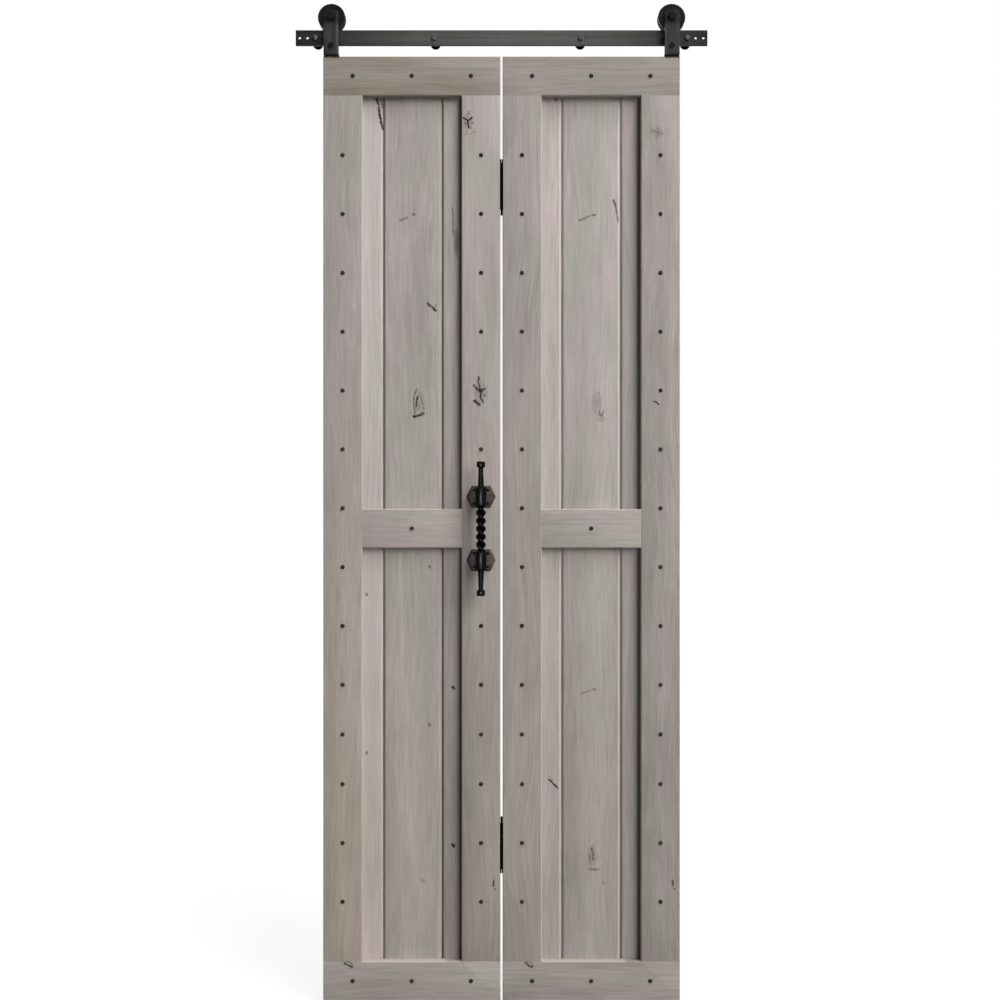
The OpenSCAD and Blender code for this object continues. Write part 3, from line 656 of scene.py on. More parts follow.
    def stains(self, wires: Wires, here: Socket) -> tuple[Value, Value]:
        """Draw the cracks, the dirt, the painted shade and the painted highlights.

        Args:
            wires: Node tree of the board.
            here: Point on the board, in metres.

        Returns:
            Darkness of cracks, dirt and painted shade, and the share of painted highlight.
        """
        ink_and_shade: Value = 0.0
        painted_highlight: Value = 0.0
        shaken = here
        for scale, amount in self.SHAKES:
            shaken = wires.jitter(shaken, scale, amount)
        for mark in self.marks:
            if isinstance(mark, Split):
                ink_and_shade = wires.maths("MAXIMUM", ink_and_shade, mark.mask(wires, shaken))
        breaks = wires.span(wires.noise(here, self.BREAKS), *self.BREAK_SPAN, self.BREAK_SHARE, 1.0)
        ink_and_shade = wires.maths("MULTIPLY", ink_and_shade, breaks)
        for mark in self.marks:
            if isinstance(mark, Line) and mark.painted_highlight:
                painted_highlight = wires.maths("MAXIMUM", painted_highlight, mark.mask(wires, here))
            elif isinstance(mark, Line):
                ink_and_shade = wires.maths("MAXIMUM", ink_and_shade, mark.mask(wires, here))
        return ink_and_shade, painted_highlight

    def stain(self, wires: Wires, clouds: Socket, foot: Value) -> Socket:
        """Colour of the stain before the grain shades it.

        Args:
            wires: Node tree of the board.
            clouds: Point that its clouds read.
            foot: 1 at the foot of an upright board, 0 at its head.

        Returns:
            The colour.
        """
        hue = wires.span(wires.noise(clouds, self.HUE), *self.HUE_SPAN)
        haze = wires.noise(wires.vector("ADD", clouds, self.HAZE_SHIFT), self.HAZE)
        warm = wires.span(haze, *self.HAZE_SPAN, self.olive * self.HAZE_SHARE, self.olive)
        warm = wires.maths("MULTIPLY_ADD", foot, self.dusk, warm)
        return wires.mix(warm, wires.mix(hue, self.MAUVE, self.SAGE), self.OLIVE)


@dataclass(frozen=True)
class Coat:
    """Dark metal or plastic with a grained coat.

    The sheen fade darkens it towards the door's sides: a painted reflection, lighter in the middle. The top
    shade darkens it above a height: painted shade. The edge glint is a painted highlight, a lighter upright
    line at a distance from the door's middle.
    """

    slot: str
    low: Colour
    high: Colour
    rough: float
    shine: float
    grain: float
    depth: float
    sheen_fade: float = 0.0
    patch: float = 22.0
    top_shade: float = 0.0
    top_shade_h: float = 0.0
    edge_glint: float = 0.0
    edge_glint_x: float = 0.0

    PATCH_OCTAVES = (4.0, 0.6)
    GRAIN_OCTAVES = (3.0, 0.55)
    GRAIN_SHARE = 0.4
    TINT_SPAN = (0.34, 0.66)
    SHEEN_FADE_SPAN = (0.1, 0.52)
    TOP_SHADE_SOFT = 0.006
    EDGE_GLINT_SPAN = (0.0024, 0.0008)
    ROUGH_SPREAD = 0.2

    def make(self, name: str) -> bpy.types.Material:
        """Make the material.

        Args:
            name: Name of the material.

        Returns:
            The material.
        """
        wires = Surface(name)
        here = wires.place()
        patches = wires.noise(here, Cloud(self.patch, *self.PATCH_OCTAVES))
        grain = wires.noise(here, Cloud(self.grain, *self.GRAIN_OCTAVES))
        tint = wires.maths("MULTIPLY", patches, 1 - self.GRAIN_SHARE)
        tint = wires.maths("MULTIPLY_ADD", grain, self.GRAIN_SHARE, tint)
        colour = wires.mix(wires.span(tint, *self.TINT_SPAN), self.low, self.high)
        aside = wires.maths("ABSOLUTE", wires.vector("DOT_PRODUCT", here, ACROSS))
        # Painted reflection: darker towards the door's sides.
        if self.sheen_fade:
            colour = wires.dim(colour, wires.span(aside, *self.SHEEN_FADE_SPAN, 1.0, 1.0 - self.sheen_fade))
        # Painted shade above a height.
        if self.top_shade:
            above = wires.maths("SUBTRACT", wires.vector("DOT_PRODUCT", here, UP), DOOR_BOTTOM + self.top_shade_h)
            shade = wires.span(above, -self.TOP_SHADE_SOFT, self.TOP_SHADE_SOFT, 1.0, 1.0 - self.top_shade)
            colour = wires.dim(colour, shade)
        # Painted highlight: a lighter upright line.
        if self.edge_glint:
            off = wires.maths("ABSOLUTE", wires.maths("SUBTRACT", aside, self.edge_glint_x))
            colour = wires.dim(colour, wires.span(off, *self.EDGE_GLINT_SPAN, 1.0, 1.0 + self.edge_glint))
        rough = wires.maths("MULTIPLY_ADD", patches, self.ROUGH_SPREAD, self.rough - self.ROUGH_SPREAD / 2)
        wires.set(Base_Color=colour, Roughness=rough, Specular_IOR_Level=self.shine,
                  Normal=wires.bump(grain, self.depth))
        return wires.material


class Finish(Enum):
    """Coats of the metal and plastic parts."""

    # Its middle is lighter than its ends: the sheen fade is a painted reflection.
    TRACK = Coat("black_iron", paint(80, 80, 77), paint(92, 91, 87), rough=0.5, shine=0.06,
                 grain=900.0, depth=0.00008, sheen_fade=0.86, patch=6.0)
    # Top shade: painted shade over the strap's upper part. Edge glint: a painted highlight near its inner
    # edge.
    STRAP = Coat("black_iron", paint(44, 43, 46), paint(54, 53, 56), rough=0.5, shine=0.08,
                 grain=900.0, depth=0.0001, top_shade=0.75, top_shade_h=2.208, edge_glint=1.1, edge_glint_x=STRAP_GLINT_X)
    STANDOFF = Coat("black_iron", paint(8, 8, 8), paint(16, 16, 16), rough=0.5, shine=0.0,
                    grain=900.0, depth=0.0001)
    # Grey, lighter than the black iron round it: a painted highlight that stands for glints on the bolt
    # heads.
    LAG = Coat("black_iron", paint(52, 51, 50), paint(96, 94, 90), rough=0.4, shine=0.2,
               grain=400.0, depth=0.0002, patch=160.0)
    WHEEL = Coat("black_iron", paint(5, 5, 6), paint(13, 12, 14), rough=0.4, shine=0.08,
                 grain=700.0, depth=0.0001)
    HINGE = Coat("black_iron", paint(3, 3, 3), paint(8, 8, 8), rough=0.6, shine=0.004,
                 grain=800.0, depth=0.0001)
    NAIL = Coat("nail_iron", paint(16, 14, 14), paint(58, 54, 52), rough=0.45, shine=0.08,
                grain=400.0, depth=0.0003, patch=9.0)
    PULL = Coat("forged_iron", paint(5, 5, 5), paint(12, 11, 11), rough=0.27, shine=0.04,
                grain=240.0, depth=0.0002)
    ROSETTE = Coat("forged_iron", paint(40, 36, 35), paint(88, 80, 77), rough=0.5, shine=0.07,
                   grain=260.0, depth=0.0005, patch=60.0)
    BOLT = Coat("bolt_steel", paint(12, 12, 13), paint(24, 23, 24), rough=0.4, shine=0.05,
                grain=700.0, depth=0.0001)
    NYLON = Coat("nylon", paint(30, 29, 29), paint(40, 39, 38), rough=0.5, shine=0.1,
                 grain=500.0, depth=0.00005)

    @property
    def slot(self) -> str:
        """Material slot of the record."""
        return self.value.slot

    def material(self) -> bpy.types.Material:
        """The coat's material, made once."""
        name = f"{self.name.lower()}_coat"
        return bpy.data.materials.get(name) or self.value.make(name)


def copy_of(node: str) -> bmesh.types.BMesh:
    """Merged copy of a CAD node's mesh, its flat faces joined.

    Args:
        node: Name of the node.

    Returns:
        The copy.
    """
    mesh = bmesh.new()
    mesh.from_mesh(frame["nodes"][node].data)
    bmesh.ops.remove_doubles(mesh, verts=mesh.verts, dist=WELD)
    bmesh.ops.dissolve_limit(mesh, angle_limit=FLAT_ANGLE, verts=mesh.verts, edges=mesh.edges)
    return mesh


def solids_of(node: str) -> list[tuple[Vector, Vector]]:
    """Boxes of a node's separate solids.

    Args:
        node: Name of the node.

    Returns:
        Lowest and highest corner of each solid.
    """
    mesh = copy_of(node)
    left = set(mesh.verts)
    boxes = []
    while left:
        waiting = [left.pop()]
        found = []
        while waiting:
            vert = waiting.pop()
            found.append(vert.co.copy())
            for edge in vert.link_edges:
                other = edge.other_vert(vert)
                if other in left:
                    left.discard(other)
                    waiting.append(other)
        boxes.append((Vector(map(min, zip(*found))), Vector(map(max, zip(*found)))))
    mesh.free()
    return sorted(boxes, key=lambda corners: tuple(corners[0]))


def edges_of(verts: Iterable[bmesh.types.BMVert]) -> list[bmesh.types.BMEdge]:
    """Edges that meet at some vertices, each once."""
    return list(dict.fromkeys(edge for vert in verts for edge in vert.link_edges))


def round_off(mesh: bmesh.types.BMesh, geom: list, width: float, segments: int, affect: str) -> dict:
    """Round some edges or corners of a mesh.

    Args:
        mesh: Mesh to change.
        geom: Edges or corners to round.
        width: Width of the rounding.
        segments: Steps across the rounding.
        affect: EDGES, or VERTICES for corners.

    Returns:
        What the operator made.
    """
    return bmesh.ops.bevel(mesh, geom=geom, offset=width, offset_type="OFFSET", segments=segments,
                           profile=0.5, affect=affect, clamp_overlap=True, material=-1)


def round_edges(mesh: bmesh.types.BMesh, width: float, least: float = 0.0, segments: int = 2) -> None:
    """Round the sharp outer edges of a mesh.

    Args:
        mesh: Mesh to change.
        width: Width of the rounding.
        least: Shortest edge that is rounded.
        segments: Steps across the rounding.
    """
    sharp = [edge for edge in mesh.edges if edge.is_manifold and edge.is_convex
             and edge.calc_face_angle() > SMOOTH_ANGLE and edge.calc_length() > least]
    round_off(mesh, sharp, width, segments, "EDGES")


def settle(mesh: bmesh.types.BMesh, name: str, body: str, slot: str, material: bpy.types.Material,
           node: str, smooth: bool = True) -> None:
    """Turn a mesh into a piece that rides on a body.

    Args:
        mesh: Mesh in the frame; it is freed.
        name: Name of the piece.
        body: Body that it rides on.
        slot: Material slot of the record; not used.
        material: Finish of the piece.
        node: CAD node that it stands for.
        smooth: Shade the faces smooth between sharp edges.
    """
    bmesh.ops.recalc_face_normals(mesh, faces=mesh.faces)
    data = bpy.data.meshes.new(name)
    mesh.to_mesh(data)
    mesh.free()
    for layer in ("custom_normal", "sharp_face", "sharp_edge"):
        if layer in data.attributes:
            data.attributes.remove(data.attributes[layer])
    data.materials.clear()
    data.materials.append(material)
    if smooth:
        data.shade_smooth()
        data.set_sharp_from_angle(angle=SMOOTH_ANGLE)
    else:
        data.shade_flat()
    piece = bpy.data.objects.new(name, data)
    bpy.context.scene.collection.objects.link(piece)
    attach(piece, body)
    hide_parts(node)
    log.info("%s: %d faces on %s", name, len(data.polygons), body)


def body_of(node: str) -> str:
    """Name of the body that holds a CAD node."""
    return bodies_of(frame["nodes"][node])[0]


def ease_node(node: str, width: float, slot: str, material: bpy.types.Material, least: float = 0.0) -> None:
    """Put a copy with rounded edges in the place of a CAD node.

    Args:
        node: Name of the node.
        width: Width of the rounding.
        slot: Material slot of the record.
        material: Finish of the piece.
        least: Shortest edge that is rounded.
    """
    mesh = copy_of(node)
    round_edges(mesh, width, least)
    settle(mesh, f"{node}_eased", body_of(node), slot, material, node)


@dataclass
class Leaf:
    """Door leaf: five frame boards over three planks, with its nails.

    Each line of dirt, painted shade and painted highlight is a pair: half the width of the line, and its
    strength.
    """

    side: Side
    woods: dict[str, StainedWood]
    ease: float = 0.00035
    least_edge: float = 0.004
    # Dark line on each plank's left joint: dirt in the joint and painted shade on the groove's shaded flank.
    # The pale line in from the right joint is a painted highlight on the groove's lit flank.
    joint_dirt_and_shade: tuple[float, float] = (0.0034, 0.66)
    joint_highlight: tuple[float, float] = (0.003, 0.5)
    joint_highlight_inset: float = 0.002
    # Painted shade: a dark line in each plank's corner by the stile on the panel's right, where that stile
    # shades it.
    corner_painted_shade: tuple[float, float] = (0.0095, 0.9)
    # Painted highlight along the right edge of each frame board, on the side that faces the light.
    edge_highlight: tuple[float, float] = (0.0014, 0.4)
    # Painted highlight along the ledges of the mid and bottom rails; it stops short of the right stile, whose
    # shade falls there.
    ledge_highlight: tuple[float, float] = (0.003, 0.42)
    ledge_lap: float = 0.006
    ledge_shade: float = 0.03
    nail_rings: tuple[tuple[float, float], ...] = ((1.0, 0.0), (0.97, 0.3), (0.72, 0.78), (0.3, 1.0))
    nail_sides: int = 9
    nail_turn: float = 0.77
    nail_dent: float = 0.07
    dent_turns: tuple[float, float] = (1.9, 2.6)
    dented_share: float = 0.9
    shank_r: float = 0.0014
    shank_sides: int = 6

    @property
    def body(self) -> str:
        """Body that the leaf rides on."""
        return f"{self.side.value}_leaf"

    @property
    def panel(self) -> tuple[float, float]:
        """Opening between the stiles.

        Returns:
            Its left and right side.
        """
        stiles = [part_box(f"{self.side.value}_{name}_stile") for name in ("outer", "inner")]
        first, last = stiles if self.side is Side.LEFT else stiles[::-1]
        return first[1].x, last[0].x

    def build(self) -> None:
        """Make the boards and the nails."""
        for board, wood in self.woods.items():
            self.board(board, wood)
        self.nails()

    def board(self, board: str, wood: StainedWood) -> None:
        """Make one board with eased edges.

        Args:
            board: Board's name without the side.
            wood: Its finish.
        """
        node = f"{self.side.value}_{board}"
        low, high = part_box(node)
        plank = board.endswith("plank")
        lines = self.plank_lines(low, high) if plank else self.frame_lines(board, high)
        wood = replace(wood, marks=wood.marks + lines)
        slot = "plank_wood" if plank else "frame_wood"
        ease_node(node, self.ease, slot, wood.make(f"{node}_wood", (low + high) / 2), self.least_edge)

    def plank_lines(self, low: Vector, high: Vector) -> tuple[Line, ...]:
        """Dirt and painted shade along a plank's left joint, a painted highlight in from its right joint, and
        painted shade in the corner where its leaf is in shade.

        Args:
            low: Lowest corner of the plank.
            high: Highest corner of the plank.

        Returns:
            The lines.
        """
        back = (low.y + high.y) / 2
        lit_flank = Line(high.x - self.joint_highlight_inset, back, *self.joint_highlight, painted_highlight=True)
        return Line(low.x, back, *self.joint_dirt_and_shade), lit_flank, Line(self.panel[1], back, *self.corner_painted_shade)

    def frame_lines(self, board: str, high: Vector) -> tuple[Line, ...]:
        """Painted highlight along the right edge of a frame board, and along the ledge of a lower rail.

        Args:
            board: Board's name without the side.
            high: Highest corner of the board.

        Returns:
            The lines.
        """
        edge = Line(high.x, high.y, *self.edge_highlight, painted_highlight=True)
        if board not in ("mid_rail", "bottom_rail"):
            return (edge,)
        first, last = self.panel
        ends = (first - self.ledge_lap, last - self.ledge_shade)
        return edge, Line(high.z, high.y, *self.ledge_highlight, painted_highlight=True, across=UP, ends=ends)

    def nails(self) -> None:
        """Make the hammered nails, each where its CAD solid is."""
        node = f"{self.side.value}_clavos"
        mesh = bmesh.new()
        for count, (low, high) in enumerate(solids_of(node)):
            self.nail(mesh, low, high, count)
        finish = Finish.NAIL
        settle(mesh, f"{node}_hammered", self.body, finish.slot, finish.material(), node, smooth=False)

    def nail(self, mesh: bmesh.types.BMesh, low: Vector, high: Vector, count: int) -> None:
        """Add one nail with a faceted head.

        Args:
            mesh: Mesh to add to.
            low: Lowest corner of the CAD nail.
            high: Highest corner of the CAD nail.
            count: Number of the nail, which turns its facets.
        """
        radius = (high.x - low.x) / 2
        head_h = LEAF_FRONT - low.y
        depth = high.y - LEAF_FRONT
        centre = Vector(((low.x + high.x) / 2, LEAF_FRONT, (low.z + high.z) / 2))
        turn = Matrix.Translation(centre) @ Matrix.Rotation(math.pi / 2, 4, "X")
        spun = turn @ Matrix.Rotation(count * self.nail_turn, 4, "Z")
        made = bmesh.ops.create_circle(mesh, cap_ends=False, radius=radius, segments=self.nail_sides,
                                       matrix=spun)
        loop = edges_of(made["verts"])
        for (wide, rise), (next_wide, next_rise) in zip(self.nail_rings, self.nail_rings[1:]):
            grown = bmesh.ops.extrude_edge_only(mesh, edges=loop)["geom"]
            verts = [item for item in grown if isinstance(item, bmesh.types.BMVert)]
            loop = [item for item in grown if isinstance(item, bmesh.types.BMEdge)]
            bmesh.ops.translate(mesh, verts=verts, vec=(0, (rise - next_rise) * head_h, 0))
            dent = self.nail_dent if next_wide < self.dented_share else 0.0
            for number, vert in enumerate(verts):
                flat = vert.co - centre
                rest = Vector((0, flat.y, 0))
                wave = math.sin(count * self.dent_turns[0] + number * self.dent_turns[1])
                vert.co = centre + rest + (flat - rest) * (next_wide / wide) * (1 - dent * (1 + wave))
        bmesh.ops.contextual_create(mesh, geom=loop)
        shank = turn @ Matrix.Translation((0, 0, -depth / 2 + head_h / 4))
        bmesh.ops.create_cone(mesh, cap_ends=True, segments=self.shank_sides, radius1=self.shank_r,
                              radius2=self.shank_r, depth=depth + head_h / 2, matrix=shank)


@dataclass
class Ironware:
    """Plain iron and steel parts, which keep their CAD form with eased edges."""

    nodes: tuple[str, ...]
    finish: Finish
    ease: float

    def build(self) -> None:
        """Make an eased copy of each part."""
        for node in self.nodes:
            ease_node(node, self.ease, self.finish.slot, self.finish.material())


@dataclass
class PullHandle:
    """Forged pull: two twisted strands between collars, tapered shanks, knobs, posts and rosettes."""

    collar_w: float = 0.025
    collar_l: float = 0.043
    collar_ease: float = 0.003
    shank_l: float = 0.043
    shank_root_w: float = 0.014
    shank_tip_w: float = 0.010
    shank_sides: int = 32
    knob_w: float = 0.019
    knob_l: float = 0.014
    knob_ease: float = 0.0035
    barrel_sides: int = 8
    corner_share: float = 0.32
    corner_steps: int = 4
    strand_d: float = 0.0116
    strand_merge: float = 0.0008
    strand_sides: int = 24
    grip_root: float = 0.003
    grip_turns: float = 3.0
    grip_steps: int = 110
    post_d: float = 0.016
    post_sides: int = 40
    rosette_w: float = 0.066
    rosette_flat_w: float = 0.043
    rosette_rise: float = 0.0045
    rosette_top_share: float = 0.86
    rosette_ease: float = 0.0009
    rosette_ease_steps: int = 3
    screw_head_h: float = 0.0022
    screw_head_steps: int = 6
    screw_head_sides: int = 20
    screw_shank_r: float = 0.0017
    screw_shank_sides: int = 12
    screw_turn: float = 0.5
    screw_turn_step: float = 1.1
    slot_w: float = 0.0012
    slot_depth: float = 0.0012
    slot_floor_share: float = 0.35
    body: str = "left_leaf"
    axis: Vector = field(init=False)
    half_l: float = field(init=False)

    def __post_init__(self) -> None:
        """Read the bar's place from the frame."""
        low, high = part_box("handle_bar")
        self.axis = Vector(((low.x + high.x) / 2, low.y + self.collar_w / 2, (low.z + high.z) / 2))
        self.half_l = (high.z - low.z) / 2

    def build(self) -> None:
        """Make the bar, its rosettes and their screws."""
        self.bar()
        self.rosette("handle_upper_rosette")
        self.rosette("handle_lower_rosette")
        self.screws()

    def bar(self) -> None:
        """Make the bar from its forged lengths."""
        mesh = bmesh.new()
        grip_half = self.half_l - self.knob_l - self.shank_l - self.collar_l
        collar_z = grip_half + self.collar_l / 2
        knob_z = self.half_l - self.knob_l / 2
        for phase in (0.0, math.pi):
            self.strand(mesh, grip_half, phase)
        for way in (-1, 1):
            self.barrel(mesh, way * collar_z, self.collar_w, self.collar_l, self.collar_ease)
            self.barrel(mesh, way * knob_z, self.knob_w, self.knob_l, self.knob_ease)
            self.shank(mesh, way, grip_half + self.collar_l)
            self.post(mesh, way * collar_z)
        finish = Finish.PULL
        settle(mesh, "handle_bar_forged", self.body, finish.slot, finish.material(), "handle_bar")

    def strand(self, mesh: bmesh.types.BMesh, grip_half: float, phase: float) -> None:
        """Add one strand of the grip, wound about the bar's axis.

        Args:
            mesh: Mesh to add to.
            grip_half: Half the length of the grip.
            phase: Turn of the strand's lower end.
        """
        half = grip_half + self.grip_root
        away = (self.strand_d - self.strand_merge) / 2
        foot = Matrix.Translation(self.axis - Vector((0, 0, half))) @ Matrix.Rotation(phase, 4, "Z")
        start = foot @ Matrix.Translation((away, 0, 0))
        made = bmesh.ops.create_circle(mesh, cap_ends=False, radius=self.strand_d / 2,
                                       segments=self.strand_sides, matrix=start)
        ring = made["verts"] + edges_of(made["verts"])
        before = set(mesh.edges)
        bmesh.ops.spin(mesh, geom=ring, cent=self.axis, axis=UP, dvec=(0, 0, 2 * half / self.grip_steps),
                       angle=-2 * math.pi * self.grip_turns, steps=self.grip_steps, use_merge=False)
        open_edges = [edge for edge in mesh.edges
                      if edge.is_boundary and (edge not in before or edge in ring)]
        bmesh.ops.holes_fill(mesh, edges=open_edges)

    def barrel(self, mesh: bmesh.types.BMesh, z: float, width: float, length: float, ease: float) -> None:
        """Add an eight-sided barrel with rounded ends.

        Args:
            mesh: Mesh to add to.
            z: Height of its middle above the bar's.
            width: Width across the flats.
            length: Length.
            ease: Rounding of the ends.
        """
        half_turn = math.pi / self.barrel_sides
        foot = self.axis + Vector((0, 0, z - length / 2))
        place = Matrix.Translation(foot) @ Matrix.Rotation(half_turn, 4, "Z")
        made = bmesh.ops.create_circle(mesh, cap_ends=True, segments=self.barrel_sides,
                                       radius=width / 2 / math.cos(half_turn), matrix=place)
        corner = width * math.tan(half_turn) * self.corner_share
        worked = round_off(mesh, made["verts"], corner, self.corner_steps, "VERTICES")
        base = worked["verts"][0].link_faces[0]
        grown = bmesh.ops.extrude_face_region(mesh, geom=[base], use_keep_orig=True)["geom"]
        head = next(item for item in grown
                    if isinstance(item, bmesh.types.BMFace) and len(item.edges) > self.barrel_sides)
        bmesh.ops.translate(mesh, verts=list(head.verts), vec=(0, 0, length))
        round_off(mesh, list(base.edges) + list(head.edges), ease, self.corner_steps, "EDGES")

    def shank(self, mesh: bmesh.types.BMesh, way: int, start: float) -> None:
        """Add a tapered shank from a collar to its knob.

        Args:
            mesh: Mesh to add to.
            way: 1 for the upper end, -1 for the lower.
            start: Distance of the collar's end from the bar's middle.
        """
        low, high = start - self.collar_ease, start + self.shank_l + self.knob_ease
        place = Matrix.Translation(self.axis + Vector((0, 0, way * (low + high) / 2)))
        lower_w, upper_w = (self.shank_root_w, self.shank_tip_w)[::way]
        bmesh.ops.create_cone(mesh, cap_ends=True, segments=self.shank_sides, radius1=lower_w / 2,
                              radius2=upper_w / 2, depth=high - low, matrix=place)

    def post(self, mesh: bmesh.types.BMesh, z: float) -> None:
        """Add a post from the bar back to its rosette.

        Args:
            mesh: Mesh to add to.
            z: Height of the post above the bar's middle.
        """
        length = LEAF_FRONT - self.axis.y
        middle = self.axis + Vector((0, length / 2, z))
        place = Matrix.Translation(middle) @ Matrix.Rotation(math.pi / 2, 4, "X")
        bmesh.ops.create_cone(mesh, cap_ends=True, segments=self.post_sides, radius1=self.post_d / 2,
                              radius2=self.post_d / 2, depth=length, matrix=place)

    def rosette(self, node: str) -> None:
        """Make a six-sided rosette with a sloping rim.

        Args:
            node: CAD node that it stands for.
        """
        low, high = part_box(node)
        middle = (low + high) / 2
        half_w, half_flat, half_h = self.rosette_w / 2, self.rosette_flat_w / 2, (high.z - low.z) / 2
        right = [(half_flat, -half_h), (half_w, 0), (half_flat, half_h)]
        corners = right + [(-x, -z) for x, z in right]
        mesh = bmesh.new()
        face = mesh.faces.new([mesh.verts.new((middle.x + x, high.y, middle.z + z)) for x, z in corners])
        rim = high.y - low.y - self.rosette_rise
        for rise, share in ((rim, 1.0), (self.rosette_rise, self.rosette_top_share)):
            grown = bmesh.ops.extrude_face_region(mesh, geom=[face], use_keep_orig=rise == rim)["geom"]
            face = next(item for item in grown if isinstance(item, bmesh.types.BMFace))
            for vert in face.verts:
                vert.co.y -= rise
                vert.co.x = middle.x + (vert.co.x - middle.x) * share
                vert.co.z = middle.z + (vert.co.z - middle.z) * share
        round_edges(mesh, self.rosette_ease, segments=self.rosette_ease_steps)
        finish = Finish.ROSETTE
        settle(mesh, f"{node}_bevelled", self.body, finish.slot, finish.material(), node)

    def screws(self) -> None:
        """Make the slotted screws, each where its CAD solid is."""
        mesh = bmesh.new()
        for count, (low, high) in enumerate(solids_of("handle_screws")):
            self.screw(mesh, low, high, count)
        finish = Finish.PULL
        settle(mesh, "handle_screws_slotted", self.body, finish.slot, finish.material(), "handle_screws")

    def screw(self, mesh: bmesh.types.BMesh, low: Vector, high: Vector, count: int) -> None:
        """Add one screw with a slotted dome head.

        Args:
            mesh: Mesh to add to.
            low: Lowest corner of the CAD screw.
            high: Highest corner of the CAD screw.
            count: Number of the screw, which turns its slot.
        """
        single = bmesh.new()
        self.screw_head(single, (high.x - low.x) / 2)
        depth = high.y - low.y - self.screw_head_h
        bmesh.ops.create_cone(single, cap_ends=True, segments=self.screw_shank_sides,
                              radius1=self.screw_shank_r, radius2=self.screw_shank_r, depth=depth,
                              matrix=Matrix.Translation((0, 0, -depth / 2)))
        seat = ((low.x + high.x) / 2, low.y + self.screw_head_h, (low.z + high.z) / 2)
        spin = Matrix.Rotation(self.screw_turn + count * self.screw_turn_step, 4, "Z")
        place = Matrix.Translation(seat) @ Matrix.Rotation(math.pi / 2, 4, "X") @ spin
        bmesh.ops.transform(single, matrix=place, verts=single.verts)
        bmesh.ops.recalc_face_normals(single, faces=single.faces)
        carried = bpy.data.meshes.new("screw")
        single.to_mesh(carried)
        single.free()
        mesh.from_mesh(carried)
        bpy.data.meshes.remove(carried)

    def screw_head(self, single: bmesh.types.BMesh, radius: float) -> None:
        """Add a dome with a slot across it, standing on the origin.

        Args:
            single: Empty mesh to add to.
            radius: Radius of the dome's foot.
        """
        turns = [step * math.pi / 2 / self.screw_head_steps for step in range(self.screw_head_steps)]
        profile = [(radius * math.cos(turn), self.screw_head_h * math.sin(turn)) for turn in turns]
        verts = [single.verts.new((x, 0, z)) for x, z in profile + [(0.0, self.screw_head_h)]]
        edges = [single.edges.new(pair) for pair in zip(verts, verts[1:])]
        bmesh.ops.spin(single, geom=verts + edges, cent=(0, 0, 0), axis=UP, dvec=(0, 0, 0),
                       angle=2 * math.pi, steps=self.screw_head_sides, use_merge=True)
        bmesh.ops.remove_doubles(single, verts=single.verts, dist=WELD)
        for way in (-1, 1):
            whole = single.verts[:] + single.edges[:] + single.faces[:]
            bmesh.ops.bisect_plane(single, geom=whole, dist=WELD, plane_co=(way * self.slot_w / 2, 0, 0),
                                   plane_no=ACROSS)
        floor = self.screw_head_h * self.slot_floor_share
        middles = [(face, face.calc_center_median()) for face in single.faces]
        inside = [face for face, middle in middles if abs(middle.x) < self.slot_w / 2 and middle.z > floor]
        grown = bmesh.ops.extrude_face_region(single, geom=inside)["geom"]
        bmesh.ops.delete(single, geom=[face for face in inside if face.is_valid], context="FACES_ONLY")
        sunk = [item for item in grown if isinstance(item, bmesh.types.BMVert)]
        bmesh.ops.translate(single, verts=sunk, vec=(0, 0, -self.slot_depth))


@dataclass(frozen=True)
class Lamp:
    """Square soft light that faces the door."""

    name: str
    way: Point
    far: float
    size: float
    power: float
    shine_only: bool = False

    def hang(self, target: Vector) -> None:
        """Add the light to the scene.

        Args:
            target: Point that it faces.
        """
        data = bpy.data.lights.new(self.name, "AREA")
        data.size = self.size
        data.energy = self.power
        lamp = bpy.data.objects.new(self.name, data)
        heading = Vector(self.way).normalized()
        lamp.location = target + heading * self.far
        lamp.rotation_euler = heading.to_track_quat("Z", "Y").to_euler()
        lamp.visible_diffuse = not self.shine_only
        bpy.context.scene.collection.objects.link(lamp)


